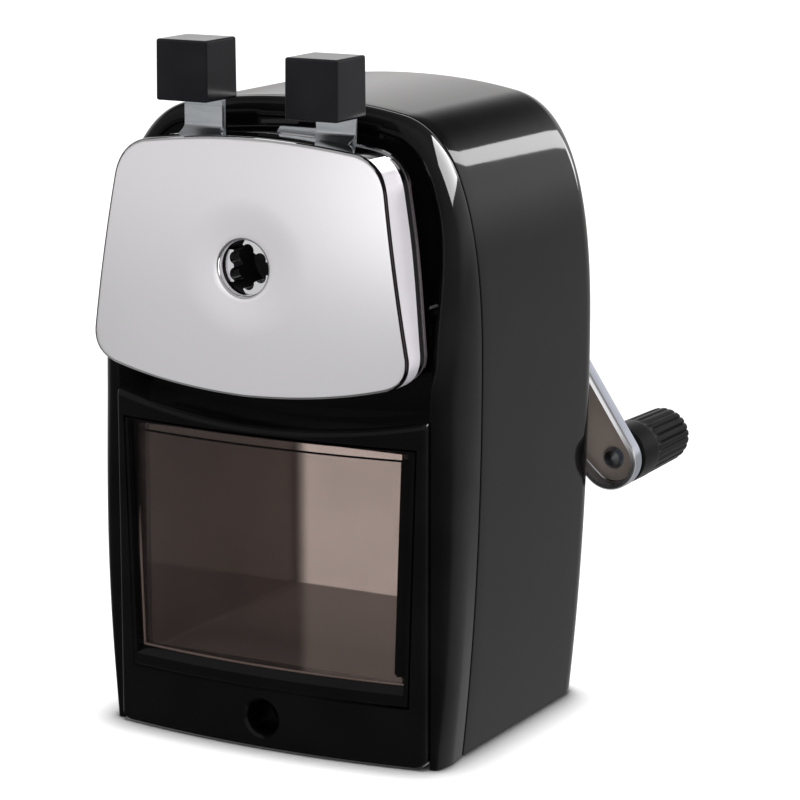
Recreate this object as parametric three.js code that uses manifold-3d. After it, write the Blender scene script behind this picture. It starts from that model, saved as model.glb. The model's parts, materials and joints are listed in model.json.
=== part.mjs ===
// A hand-crank pencil sharpener with a helical cutter, as an assembly of separate pieces.
// Millimetres, +Z up. The front, with the pencil hole and the drawer, faces -Y.
// The origin is under the middle of the body, on the surface that the sharpener stands on.
import * as THREE from "three";
import { mergeVertices } from "three/addons/utils/BufferGeometryUtils.js";
import Module from "manifold-3d";

const wasm = await Module();
wasm.setup();

// Driving dimensions of the body
const GAP = 0.3; // clearance between pieces that touch
const SOLE = 0.6; // how far the rubber pad lifts the body off the table
const AXIS_Z = 90.8; // height of the pencil, which is also the axis of the crank
const SEAM_Y = -18.8; // where the front housing meets the rear shell
const REAR_Y = 32;
const REAR_FILLET = 8;
const COLUMN_Y = -28; // front of the housing's two side columns
const RECESS_Y = -22.5; // back wall of the recess that the faceplate sits in
const PANEL_Y = -30; // edges of the bowed lower panel
const PANEL_BOW = 3; // how far the panel's middle stands ahead of its edges
const PANEL_HALF = 32.8;
const WALL = 2.2;

// The body's outline seen from the front: widest a little over half way up, with a domed top
const BASE_HALF = 34.5;
const WAIST_HALF = 38.2;
const WAIST_Z = 74;
const SHOULDER_X = 21.8;
const SHOULDER_Z = 117.6;
const TOP_Z = 119.6;

// The drawer
const DRAWER_TOP_HALF = 30.7;
const DRAWER_BOTTOM_HALF = 29.3;
const DRAWER_LOW_Z = 11.7;
const DRAWER_HIGH_Z = 59.2;
const TRAY_HALF = 28.2;
const TRAY_HIGH_Z = 57.6;
const TRAY_REAR_Y = 28;
const TRAY_WALL = 1.6;

// The faceplate and what slides with it
const PLATE_FRONT_Y = -37.6;
const PLATE_CROWN = 1.2;
const PLATE_BACK_Y = -29.7;
const PLATE_WALL = 1.5;
const PENCIL_HOLE_R = 5;
const ROD_X = 24;
const ROD_Z = 80.8;
const ROD_R = 1.5;
const ROD_FRONT_Y = -34;
const ROD_REAR_Y = 22;
const LEVER_X = 13.3;
const LEVER_LEFT_Y = -29.3;
const LEVER_RIGHT_Y = -27.8;
const LEVER_THICK = 1.2;
const RIGHT_CAP_DROP = 2;
const CAP_TOP_Z = 130.6;

// The cutting mechanism
const MODULE = 1;
const RING_TEETH = 31;
const PINION_TEETH = 10;
const PITCH_DISTANCE = (MODULE * (RING_TEETH - PINION_TEETH)) / 2;
const PINION_Y = -17.3;
const CUTTER_TILT = THREE.MathUtils.degToRad(10);
const CUTTER_R = 5.6;
const SHAFT_R = 3;

// The crank
const ARM_LENGTH = 59.5;
const ARM_ANGLE = THREE.MathUtils.degToRad(40.2); // from straight down, towards +X
const ARM_HUB_R = 12.8;
const ARM_TIP_R = 5.9;
const ARM_FRONT_Y = 33.9;
const ARM_REAR_Y = 38;
const ARM_SHEET = 1;
const KNOB_R = 6;
const KNOB_REAR_Y = 62.8;
const KNOB_X = ARM_LENGTH * Math.sin(ARM_ANGLE);
const KNOB_Z = AXIS_Z - ARM_LENGTH * Math.cos(ARM_ANGLE);

const FAR = 200; // reach of a cut that goes right through

const root = new THREE.Group();
root.name = "pencil_sharpener";

// Materials

function material(color, roughness, metalness, opacity = 1) {
  const transparent = opacity < 1;
  return { color, roughness, metalness, opacity, transparent };
}

const blackGloss = material(0x0b0b0c, 0.12, 0);
const blackMatte = material(0x141414, 0.6, 0);
const rubber = material(0x1c1c1c, 0.9, 0);
const chrome = material(0xe2e2e6, 0.08, 1);
const zinc = material(0xb4b7bb, 0.35, 1);
const castMetal = material(0x8f9296, 0.5, 1);
const toolSteel = material(0x7d8084, 0.3, 1);
const nylon = material(0xe6e4dc, 0.5, 0);
const smoked = material(0x4a4240, 0.08, 0, 0.45);

// Adds one piece, given as a solid or as a geometry, to a group.
function piece(name, shape, look, group = root) {
  const geometry = shape.isBufferGeometry ? shape : geometryOf(shape);
  geometry.computeVertexNormals();
  const mesh = new THREE.Mesh(geometry, new THREE.MeshStandardMaterial(look));
  mesh.name = name;
  group.add(mesh);
  return mesh;
}

// Solids and geometries

function solidOf(geometry) {
  const bare = geometry.index ? geometry.toNonIndexed() : geometry.clone();
  bare.deleteAttribute("normal");
  bare.deleteAttribute("uv");
  const merged = mergeVertices(bare, 1e-4);
  const vertProperties = merged.attributes.position.array;
  const triVerts = new Uint32Array(merged.index.array);
  return new wasm.Manifold(new wasm.Mesh({ numProp: 3, vertProperties, triVerts }));
}

function geometryOf(solid) {
  const mesh = solid.getMesh();
  const geometry = new THREE.BufferGeometry();
  geometry.setAttribute("position", new THREE.BufferAttribute(mesh.vertProperties, 3));
  geometry.setIndex(new THREE.BufferAttribute(mesh.triVerts, 1));
  return geometry;
}

function join(...solids) {
  return solids.reduce((sum, next) => sum.add(next));
}

function cut(solid, ...tools) {
  return tools.reduce((rest, tool) => rest.subtract(tool), solid);
}

function box(x0, x1, y0, y1, z0, z1) {
  const geometry = new THREE.BoxGeometry(x1 - x0, y1 - y0, z1 - z0);
  geometry.translate((x0 + x1) / 2, (y0 + y1) / 2, (z0 + z1) / 2);
  return solidOf(geometry);
}

// A round bar along Y.
function rodY(x, z, radius, y0, y1, sides = 20) {
  const geometry = new THREE.CylinderGeometry(radius, radius, y1 - y0, sides);
  geometry.translate(x, (y0 + y1) / 2, z);
  return solidOf(geometry);
}

// A round bar along Z.
function rodZ(x, y, radius, z0, z1, sides = 12) {
  const geometry = new THREE.CylinderGeometry(radius, radius, z1 - z0, sides);
  geometry.rotateX(Math.PI / 2);
  geometry.translate(x, y, (z0 + z1) / 2);
  return solidOf(geometry);
}

// A turned piece on an axis along Y, from its profile of [radius, y].
function turned(profile, x = 0, z = AXIS_Z, sides = 24) {
  const points = profile.map(([radius, y]) => new THREE.Vector2(radius, y));
  if (THREE.ShapeUtils.isClockWise(points)) points.reverse();
  points.push(points[0].clone());
  const geometry = new THREE.LatheGeometry(points, sides);
  geometry.translate(x, 0, z);
  return solidOf(geometry);
}

// A flat outline in X and Z, made thick along Y.
function slabY(shape, y0, y1, curveSegments = 12) {
  const settings = { depth: y1 - y0, bevelEnabled: false, curveSegments };
  const geometry = new THREE.ExtrudeGeometry(shape, settings);
  geometry.rotateX(Math.PI / 2);
  geometry.translate(0, y1, 0);
  return solidOf(geometry);
}

// A flat outline in X and Y, made thick along Z.
function slabZ(shape, z0, z1, curveSegments = 12) {
  const settings = { depth: z1 - z0, bevelEnabled: false, curveSegments };
  const geometry = new THREE.ExtrudeGeometry(shape, settings);
  geometry.translate(0, 0, z0);
  return solidOf(geometry);
}

// A flat outline in Y and Z, made thick along X.
function slabX(shape, x0, x1, curveSegments = 12) {
  const settings = { depth: x1 - x0, bevelEnabled: false, curveSegments };
  const geometry = new THREE.ExtrudeGeometry(shape, settings);
  const turn = new THREE.Matrix4().makeBasis(
    new THREE.Vector3(0, 1, 0),
    new THREE.Vector3(0, 0, 1),
    new THREE.Vector3(1, 0, 0),
  );
  geometry.applyMatrix4(turn);
  geometry.translate(x0, 0, 0);
  return solidOf(geometry);
}

function outline(points) {
  return new THREE.Shape(points.map(([x, y]) => new THREE.Vector2(x, y)));
}

// A closed skin over flat rings of equally many points, one ring at each depth y.
function loft(rings) {
  const count = rings[0].points.length;
  const positions = [];
  for (const { y, points } of rings) {
    for (const point of points) positions.push(point.x, y, point.y);
  }
  const faces = [];
  for (let ring = 0; ring + 1 < rings.length; ring++) {
    for (let i = 0; i < count; i++) {
      const a = ring * count + i;
      const b = ring * count + ((i + 1) % count);
      faces.push(a, a + count, b, b, a + count, b + count);
    }
  }
  const last = (rings.length - 1) * count;
  for (const [a, b, c] of THREE.ShapeUtils.triangulateShape(rings[0].points, [])) {
    faces.push(a, b, c);
  }
  for (const [a, b, c] of THREE.ShapeUtils.triangulateShape(rings.at(-1).points, [])) {
    faces.push(last + a, last + c, last + b);
  }
  const geometry = new THREE.BufferGeometry();
  geometry.setAttribute("position", new THREE.Float32BufferAttribute(positions, 3));
  geometry.setIndex(faces);
  return solidOf(geometry);
}

// The body

// Half of the body's outline, from the base up to the middle of the top.
const halfArch = new THREE.Path();
halfArch.moveTo(BASE_HALF, SOLE);
halfArch.quadraticCurveTo(WAIST_HALF + 0.1, 34, WAIST_HALF, WAIST_Z);
halfArch.bezierCurveTo(WAIST_HALF, 98, 34, 115.6, SHOULDER_X, SHOULDER_Z);
halfArch.quadraticCurveTo(12, TOP_Z, 0, TOP_Z);

// The arch's points from right to left, moved inwards, standing on a level base.
function arch(inset, baseZ = SOLE) {
  const half = halfArch.getPoints(6);
  const whole = [...half, ...half.slice(0, -1).reverse().map((p) => new THREE.Vector2(-p.x, p.y))];
  const moved = whole.map((point, i) => {
    const before = whole[Math.max(i - 1, 0)];
    const after = whole[Math.min(i + 1, whole.length - 1)];
    const along = after.clone().sub(before).normalize();
    return new THREE.Vector2(point.x - along.y * inset, point.y + along.x * inset);
  });
  moved[0].y = baseZ;
  moved.at(-1).y = baseZ;
  return moved;
}

// A body lofted from stations of [y, inset from the outline].
function archBody(stations, baseZ) {
  return loft(stations.map(([y, inset]) => ({ y, points: arch(inset, baseZ) })));
}

// Stations that round a body off with a fillet of the given radius towards y.
function roundedEnd(y, radius, inset, direction) {
  const stations = [];
  const steps = 4;
  for (let i = 0; i <= steps; i++) {
    const angle = ((Math.PI / 2) * i) / steps;
    const back = direction * radius * (1 - Math.sin(angle));
    stations.push([y - back, inset + radius * (1 - Math.cos(angle))]);
  }
  return stations;
}

// A trapezium in X and Z that follows the drawer's front, widened all round by a margin.
function drawerOutline(margin) {
  return outline([
    [-DRAWER_BOTTOM_HALF - margin, DRAWER_LOW_Z - margin],
    [DRAWER_BOTTOM_HALF + margin, DRAWER_LOW_Z - margin],
    [DRAWER_TOP_HALF + margin, DRAWER_HIGH_Z + margin],
    [-DRAWER_TOP_HALF - margin, DRAWER_HIGH_Z + margin],
  ]);
}

// The bowed plan of the lower panel, back to a level rear edge.
function bowedPlan(half, rearY) {
  const shape = new THREE.Shape();
  shape.moveTo(-half, rearY);
  shape.lineTo(-half, PANEL_Y);
  shape.quadraticCurveTo(0, PANEL_Y - 2 * PANEL_BOW, half, PANEL_Y);
  shape.lineTo(half, rearY);
  return shape;
}

const FRAME_SCREWS = [
  [-16, 16],
  [16, 16],
  [-16, -16],
  [16, -16],
];
const SHELL_SCREW_X = 20;
const SHELL_SCREW_Z = AXIS_Z + 14;
const FRONT_POST = [24, -22.3];
const REAR_POST = [28.4, 20];
const POST_TOP_Z = 10.9; // under the drawer
const CLAMP_Z = 6;
const CLAMP_R = 3.4;

function frontHousing() {
  const shell = archBody([
    [COLUMN_Y, 2.6],
    [COLUMN_Y + 0.5, 1.4],
    [COLUMN_Y + 1.4, 0.6],
    [COLUMN_Y + 3, 0.1],
    [SEAM_Y - GAP, 0],
  ]);
  const smile = new THREE.Shape();
  smile.moveTo(-PANEL_HALF, SOLE);
  smile.lineTo(PANEL_HALF, SOLE);
  smile.lineTo(PANEL_HALF, 64.6);
  smile.quadraticCurveTo(0, 57.6, -PANEL_HALF, 64.6);
  const panel = slabZ(bowedPlan(PANEL_HALF, RECESS_Y), SOLE, 70).intersect(
    slabY(smile, -FAR, RECESS_Y),
  );
  // The upper rim leans back, and the recess inside it holds the faceplate.
  const lean = outline([
    [COLUMN_Y - 9, 66],
    [COLUMN_Y - 9, 130],
    [COLUMN_Y + 4.4, 130],
    [COLUMN_Y + 3.4, 116],
    [COLUMN_Y - 0.01, 66],
  ]);
  const recessTop = archBody([[-FAR, 5.2], [RECESS_Y, 5.2]], 50);
  const recess = recessTop.subtract(slabY(smile, -FAR, FAR));
  const cavity = archBody([[RECESS_Y + 2, WALL], [0, WALL]], 62);
  const lower = archBody([[COLUMN_Y + 2.4, WALL], [0, WALL]], -10).subtract(
    box(-FAR, FAR, -FAR, FAR, 60.4, FAR),
  );
  const shelf = box(-33, 33, COLUMN_Y + 1, SEAM_Y - GAP, 9.4, 11.3);
  const body = join(shell, panel);
  let housing = cut(body, slabX(lean, -FAR, FAR), recess, cavity, lower);
  housing = join(housing, shelf);
  const opening = box(-TRAY_HALF - 0.5, TRAY_HALF + 0.5, -FAR, 0, 11.3, TRAY_HIGH_Z + 0.6);
  const rebate = slabY(drawerOutline(GAP), -FAR, PANEL_Y + 0.6);
  housing = cut(housing, opening, rebate);
  for (const side of [-1, 1]) {
    const [x, y] = FRONT_POST;
    housing = join(housing, rodZ(side * x, y, 2.6, 3, 9.6));
    housing = cut(housing, rodZ(side * x, y, 1.3, 0, 9));
    housing = cut(housing, rodY(side * ROD_X, ROD_Z, 3.3, -FAR, 0));
  }
  for (const [x, z] of FRAME_SCREWS) {
    housing = join(housing, rodY(x, AXIS_Z + z, 2.8, RECESS_Y + 1, SEAM_Y - GAP));
    housing = cut(housing, rodY(x, AXIS_Z + z, 1.3, RECESS_Y + 0.8, 0, 12));
  }
  return cut(housing, rodY(0, AXIS_Z, 9, -FAR, 0), rodY(0, CLAMP_Z, CLAMP_R, -FAR, 0));
}

function rearShell() {
  const outer = archBody([[SEAM_Y, 0], ...roundedEnd(REAR_Y, REAR_FILLET, 0, 1)]);
  const innerEnd = roundedEnd(REAR_Y - WALL, REAR_FILLET - WALL, WALL, 1);
  const inner = archBody([[SEAM_Y - 1, WALL], ...innerEnd], -10);
  let shell = cut(outer, inner);
  for (const side of [-1, 1]) {
    const [x, y] = REAR_POST;
    const rib = box(x, BASE_HALF, y - 1, y + 1, 3, POST_TOP_Z);
    const placedRib = side > 0 ? rib : rib.mirror([1, 0, 0]);
    shell = join(shell, rodZ(side * x, y, 2.8, 3, POST_TOP_Z), placedRib.intersect(outer));
    shell = cut(shell, rodZ(side * x, y, 1.3, 0, POST_TOP_Z - 1));
    const screwX = side * SHELL_SCREW_X;
    shell = cut(shell, rodY(screwX, SHELL_SCREW_Z, 1.8, 20, 40, 16));
    shell = cut(shell, rodY(screwX, SHELL_SCREW_Z, 3.3, REAR_Y - 1.2, 40, 20));
  }
  return cut(shell, rodY(0, AXIS_Z, 5.4, 20, 40));
}

const PAD_HALF_X = 24;
const PAD_HALF_Y = 17;
const PAD_THICK = 1.6;
const BASE_FRONT_Y = COLUMN_Y + 4;

function basePlate() {
  const inset = WALL + GAP;
  const outer = archBody([[BASE_FRONT_Y, inset], ...roundedEnd(REAR_Y - inset, 5.5, inset, 1)]);
  let base = cut(outer, box(-FAR, FAR, -FAR, FAR, 2.6, FAR));
  const socket = box(-6.5, 6.5, BASE_FRONT_Y, -4, 2, 9.1);
  const bore = rodY(0, CLAMP_Z, CLAMP_R, -FAR, -7);
  base = cut(join(base, socket), bore);
  for (const side of [-1, 1]) {
    const x = side * 21;
    base = join(base, box(x - 1, x + 1, -17, 26, 2, 11.2));
    for (const [postX, postY] of [FRONT_POST, REAR_POST]) {
      base = cut(base, rodZ(side * postX, postY, 1.5, -1, 4));
      base = cut(base, rodZ(side * postX, postY, 2.7, -1, 1.8));
    }
  }
  base = join(base, box(-22, 22, 24, 26, 2, 11.2));
  const recess = box(
    -PAD_HALF_X - GAP, PAD_HALF_X + GAP, -PAD_HALF_Y - GAP, PAD_HALF_Y + GAP, -1, PAD_THICK + GAP,
  );
  return cut(base, recess);
}

// A screw along Y or Z with a domed head and a cross recess.
function screw(headR, headH, shankR, length) {
  const body = turned([
    [0, -length],
    [shankR, -length],
    [shankR, 0],
    [headR, 0],
    [headR, headH * 0.4],
    [headR * 0.7, headH * 0.85],
    [0, headH],
  ], 0, 0, 10);
  const slot = headR * 0.6;
  const depth = headH * 0.45;
  const cross = join(box(-slot, slot, depth, 9, -0.3, 0.3), box(-0.3, 0.3, depth, 9, -slot, slot));
  return geometryOf(cut(body, cross));
}

piece("front_housing", frontHousing(), blackGloss);
piece("rear_shell", rearShell(), blackGloss);
piece("base_plate", basePlate(), blackMatte);
piece("base_pad", box(-PAD_HALF_X, PAD_HALF_X, -PAD_HALF_Y, PAD_HALF_Y, 0, PAD_THICK), rubber);

for (const [word, side] of [["left", -1], ["right", 1]]) {
  for (const [place, [x, y], shank] of [["front", FRONT_POST, 6], ["rear", REAR_POST, 8]]) {
    const base = piece(`base_screw_${place}_${word}`, screw(2.3, 0.9, 1, shank), zinc);
    base.rotation.x = -Math.PI / 2;
    base.position.set(side * x, y, 1.6);
  }
  const shellScrew = piece(`shell_screw_${word}`, screw(2.9, 1, 1.4, 7.5), zinc);
  shellScrew.position.set(side * SHELL_SCREW_X, REAR_Y - 1, SHELL_SCREW_Z);
}

// The drawer

function drawer() {
  const front = slabZ(bowedPlan(DRAWER_TOP_HALF, PANEL_Y + GAP), 0, 80, 16).intersect(
    slabY(drawerOutline(0), -FAR, FAR),
  );
  const outer = box(-TRAY_HALF, TRAY_HALF, PANEL_Y, TRAY_REAR_Y, DRAWER_LOW_Z + 0.3, TRAY_HIGH_Z);
  const inner = box(
    -TRAY_HALF + TRAY_WALL, TRAY_HALF - TRAY_WALL,
    PANEL_Y + 1, TRAY_REAR_Y - TRAY_WALL,
    DRAWER_LOW_Z + 2.3, FAR,
  );
  return cut(join(front, outer), inner);
}

piece("drawer", drawer(), smoked);

// The mechanism frame and the gears

const FRAME_R = 21;
const RING_OUTER_R = 18.4;
const RING_Y = [-19.6, -15];
const FRAME_FRONT_Y = -18.7;
const FRAME_REAR_Y = [22.5, 25.5];
const BEARING_R = 14.1;
const CARRIER_DISC_Y = [-14.4, -12.6];

function toothedOutline(teeth, tipR, rootR, tipShare, rootShare, phase = 0) {
  const points = [];
  const pitch = (2 * Math.PI) / teeth;
  for (let i = 0; i < teeth; i++) {
    const middle = i * pitch + phase;
    const steps = [
      [rootR, -rootShare],
      [tipR, -tipShare],
      [tipR, tipShare],
      [rootR, rootShare],
    ];
    for (const [radius, share] of steps) {
      const angle = middle + (share * pitch) / 2;
      points.push([radius * Math.cos(angle), radius * Math.sin(angle)]);
    }
  }
  return points;
}

function ringGear() {
  const pitchR = (MODULE * RING_TEETH) / 2;
  const phase = Math.PI / 2 - Math.PI / RING_TEETH;
  const teeth = toothedOutline(RING_TEETH, pitchR - 0.7, pitchR + 1.15, 0.24, 0.6, phase);
  const space = slabY(outline(teeth), RING_Y[0] - 1, RING_Y[1] + 1).translate([0, 0, AXIS_Z]);
  return cut(rodY(0, AXIS_Z, RING_OUTER_R, RING_Y[0], RING_Y[1], 36), space);
}

function mechanismFrame() {
  const barrel = rodY(0, AXIS_Z, FRAME_R, FRAME_FRONT_Y, CARRIER_DISC_Y[1] + 0.6, 36);
  const seat = rodY(0, AXIS_Z, RING_OUTER_R + GAP, -FAR, RING_Y[1] + GAP, 36);
  const bearing = rodY(0, AXIS_Z, BEARING_R, -FAR, FAR, 36);
  let frame = barrel;
  for (const [x, z] of FRAME_SCREWS) {
    const ear = rodY(x, AXIS_Z + z, 3.5, FRAME_FRONT_Y, -15.6, 16);
    frame = join(frame, ear);
  }
  frame = cut(frame, seat, bearing);
  for (const [x, z] of FRAME_SCREWS) {
    frame = cut(frame, rodY(x, AXIS_Z + z, 1.5, -FAR, 0, 10));
    frame = cut(frame, rodY(x, AXIS_Z + z, 3, -15.6, 0, 12));
  }
  const rear = rodY(0, AXIS_Z, 14, FRAME_REAR_Y[0], FRAME_REAR_Y[1], 24);
  frame = join(frame, rear);
  for (const side of [-1, 1]) {
    const x = side * 17.6;
    const rail = box(x - 1.6, x + 1.6, -13.5, FRAME_REAR_Y[1], AXIS_Z - 4, AXIS_Z + 8);
    const web = box(Math.min(x, side * 10), Math.max(x, side * 10), FRAME_REAR_Y[0], FRAME_REAR_Y[1],
      AXIS_Z - 4, AXIS_Z + 8);
    const post = rodY(side * SHELL_SCREW_X, SHELL_SCREW_Z, 3.4, FRAME_REAR_Y[0], 29.2, 16);
    const arm = box(Math.min(side * 12, side * 21), Math.max(side * 12, side * 21),
      FRAME_REAR_Y[0], FRAME_REAR_Y[1], AXIS_Z + 6, AXIS_Z + 12.5);
    frame = join(frame, rail, web, post, arm);
    frame = cut(frame, rodY(side * SHELL_SCREW_X, SHELL_SCREW_Z, 1.7, 18, FAR, 12));
  }
  return cut(frame, rodY(0, AXIS_Z, 5.3, 20, 40, 24));
}

piece("mechanism_frame", mechanismFrame(), castMetal);
piece("ring_gear", ringGear(), nylon);
piece("shaft_bush", turned([
  [SHAFT_R + GAP, REAR_Y + 0.4],
  [5, REAR_Y + 0.4],
  [5, FRAME_REAR_Y[0] - GAP],
  [6.4, FRAME_REAR_Y[0] - GAP],
  [6.4, FRAME_REAR_Y[0] - 1.5],
  [SHAFT_R + GAP, FRAME_REAR_Y[0] - 1.5],
]), nylon);
FRAME_SCREWS.forEach(([x, z], i) => {
  const driven = piece(`frame_screw_${i + 1}`, screw(2.6, 1.4, 1, 6), zinc);
  driven.position.set(x, -15.3, AXIS_Z + z);
});

// The cutter carrier turns with the crank; the cutter turns in it on a tilted axle.

// A group whose own Y axis is the cutter's axis, above the pencil and closing on it to the rear.
const cutterGroup = new THREE.Group();
cutterGroup.position.set(0, PINION_Y, AXIS_Z + PITCH_DISTANCE);
cutterGroup.rotation.x = -CUTTER_TILT;
root.add(cutterGroup);

function tilted(solid) {
  cutterGroup.updateMatrix();
  const geometry = geometryOf(solid);
  geometry.applyMatrix4(cutterGroup.matrix);
  return solidOf(geometry);
}

const AXLE_R = 1.4;
const REAR_DISC_Y = [11.2, 14.6];

function carrier() {
  const front = rodY(0, AXIS_Z, BEARING_R - GAP, CARRIER_DISC_Y[0], CARRIER_DISC_Y[1], 32);
  const rear = rodY(0, AXIS_Z, 10.5, REAR_DISC_Y[0], REAR_DISC_Y[1], 32);
  const spine = box(-7, 7, CARRIER_DISC_Y[0] + 0.5, REAR_DISC_Y[0] + 1, AXIS_Z - 10.4, AXIS_Z - 5.2);
  const cheeks = [-1, 1].map((side) =>
    box(Math.min(side * 7, side * 10), Math.max(side * 7, side * 10), CARRIER_DISC_Y[0] + 0.5,
      REAR_DISC_Y[0] + 1, AXIS_Z - 8, AXIS_Z - 1));
  const shaft = rodY(0, AXIS_Z, SHAFT_R, REAR_DISC_Y[1] - 1, ARM_REAR_Y + 0.6, 24);
  const threaded = rodY(0, AXIS_Z, 2, ARM_REAR_Y, ARM_REAR_Y + 3.2, 16);
  const body = join(front, rear, spine, ...cheeks, shaft, threaded);
  const axleHole = tilted(rodY(0, 0, AXLE_R + GAP, -10, 60, 16));
  const room = tilted(rodY(0, 0, CUTTER_R + 0.7, 4.9, 27.5, 32));
  const coneR = 4.5;
  const way = rodY(0, AXIS_Z, coneR, -FAR, -2, 24);
  return cut(body, way, axleHole, room);
}

// Helical teeth round a bar: each ring of the loft is the same star, turned a little more.
function cutter() {
  const teeth = 11;
  const steps = 9;
  const front = 5.4;
  const length = 21;
  const twist = 1.3;
  const rings = [];
  for (let i = 0; i <= steps; i++) {
    const points = [];
    for (let k = 0; k < teeth * 2; k++) {
      const angle = (k * Math.PI) / teeth + (twist * i) / steps;
      const radius = k % 2 ? CUTTER_R - 0.9 : CUTTER_R;
      points.push(new THREE.Vector2(radius * Math.cos(angle), radius * Math.sin(angle)));
    }
    rings.push({ y: front + (length * i) / steps, points });
  }
  return cut(loft(rings), rodY(0, 0, AXLE_R + GAP, -FAR, FAR, 16));
}

function pinion() {
  const pitchR = (MODULE * PINION_TEETH) / 2;
  const teeth = toothedOutline(PINION_TEETH, pitchR + 0.65, pitchR - 1.05, 0.2, 0.52, Math.PI / 2);
  return cut(slabY(outline(teeth), -1.1, 1.1), rodY(0, 0, AXLE_R + GAP, -FAR, FAR, 16));
}

piece("cutter_carrier", carrier(), castMetal);
piece("cutter", cutter(), toolSteel, cutterGroup);
piece("cutter_pinion", pinion(), nylon, cutterGroup);
piece("cutter_axle", rodY(0, 0, AXLE_R, -1.7, 30.4, 16), zinc, cutterGroup);

// The crank

// A teardrop round the crank's axis and the knob's, in X and Z.
function teardrop(hubR, tipR) {
  const shape = new THREE.Shape();
  const lean = Math.asin((hubR - tipR) / ARM_LENGTH);
  const down = -Math.PI / 2 + ARM_ANGLE;
  shape.absarc(0, AXIS_Z, hubR, down + Math.PI / 2 - lean, down - Math.PI / 2 + lean, false);
  shape.absarc(KNOB_X, KNOB_Z, tipR, down - Math.PI / 2 + lean, down + Math.PI / 2 - lean, false);
  return shape;
}

function crankArm() {
  const outer = slabY(teardrop(ARM_HUB_R, ARM_TIP_R), ARM_FRONT_Y, ARM_REAR_Y, 14);
  const webY = ARM_REAR_Y - ARM_SHEET;
  const hollow = slabY(teardrop(ARM_HUB_R - ARM_SHEET, ARM_TIP_R - ARM_SHEET), 0, webY, 14);
  const knobHole = rodY(KNOB_X, KNOB_Z, 1.8, 0, FAR, 16);
  return cut(outer, hollow, rodY(0, AXIS_Z, SHAFT_R + GAP, 0, FAR, 24), knobHole);
}

function knob() {
  const ribs = 16;
  const points = [];
  for (let i = 0; i < ribs * 2; i++) {
    const angle = (i * Math.PI) / ribs;
    const radius = i % 2 ? KNOB_R - 0.7 : KNOB_R - 0.2;
    points.push([radius * Math.cos(angle), radius * Math.sin(angle)]);
  }
  const barrel = slabY(outline(points), 45.5, KNOB_REAR_Y - 1).translate([KNOB_X, 0, KNOB_Z]);
  const collar = turned([
    [0, ARM_REAR_Y + GAP],
    [KNOB_R, ARM_REAR_Y + GAP],
    [KNOB_R, 45.6],
    [0, 45.6],
  ], KNOB_X, KNOB_Z, 24);
  const cap = turned([
    [0, KNOB_REAR_Y - 1.2],
    [KNOB_R - 0.7, KNOB_REAR_Y - 1.2],
    [KNOB_R - 1.8, KNOB_REAR_Y - 0.2],
    [0, KNOB_REAR_Y],
  ], KNOB_X, KNOB_Z, 24);
  return cut(join(barrel, collar, cap), rodY(KNOB_X, KNOB_Z, 1.8, 0, 56, 16));
}

piece("shaft_washer", turned([
  [SHAFT_R + GAP, REAR_Y + 0.7],
  [7, REAR_Y + 0.7],
  [7, REAR_Y + 1.6],
  [4.6, REAR_Y + 1.6],
  [4.6, ARM_REAR_Y - ARM_SHEET - GAP],
  [SHAFT_R + GAP, ARM_REAR_Y - ARM_SHEET - GAP],
]), zinc);
piece("crank_arm", crankArm(), chrome);
piece("crank_nut", turned([
  [2 + GAP, ARM_REAR_Y + 0.9],
  [5, ARM_REAR_Y + 0.9],
  [4.8, ARM_REAR_Y + 3],
  [3.4, ARM_REAR_Y + 4.6],
  [0, ARM_REAR_Y + 5.2],
  [0, ARM_REAR_Y + 3.6],
  [2 + GAP, ARM_REAR_Y + 3.6],
], 0, AXIS_Z, 24), chrome);
piece("knob", knob(), blackMatte);
piece("knob_rivet", turned([
  [0, ARM_REAR_Y - ARM_SHEET - 1.6],
  [1.6, ARM_REAR_Y - ARM_SHEET - 1.2],
  [2.2, ARM_REAR_Y - ARM_SHEET - GAP],
  [1.5, ARM_REAR_Y - ARM_SHEET - GAP],
  [1.5, 55],
  [0, 55],
], KNOB_X, KNOB_Z, 20), zinc);

// The faceplate carriage

const plateHalf = new THREE.Path();
plateHalf.moveTo(0, 67.3);
plateHalf.quadraticCurveTo(16, 67.6, 27.9, 71);
plateHalf.quadraticCurveTo(32.6, 72.4, 32.1, 77);
plateHalf.lineTo(27.5, 105.4);
plateHalf.quadraticCurveTo(26.6, 111, 21.5, 112.3);
plateHalf.quadraticCurveTo(10, 114.1, 0, 114.1);

// The faceplate's outline, moved inwards.
function plateRing(inset) {
  const half = plateHalf.getPoints(5);
  const left = half.slice(1, -1).reverse().map((p) => new THREE.Vector2(-p.x, p.y));
  const whole = [...half, ...left];
  const count = whole.length;
  return whole.map((point, i) => {
    const along = whole[(i + 1) % count].clone().sub(whole[(i + count - 1) % count]).normalize();
    return new THREE.Vector2(point.x - along.y * inset, point.y + along.x * inset);
  });
}

// The plate's outline drawn in towards the pencil hole, for the crown of its face.
function crownRing(inset, share) {
  const middle = new THREE.Vector2(0, AXIS_Z);
  return plateRing(inset).map((point) => point.lerp(middle, 1 - share));
}

function plateBody(frontY, backY, inset, crown) {
  return loft([
    { y: frontY - crown, points: crownRing(inset, 0.4) },
    { y: frontY - crown * 0.7, points: crownRing(inset, 0.75) },
    { y: frontY, points: plateRing(inset + 1) },
    { y: frontY + 1, points: plateRing(inset) },
    { y: backY, points: plateRing(inset) },
  ]);
}

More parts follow.
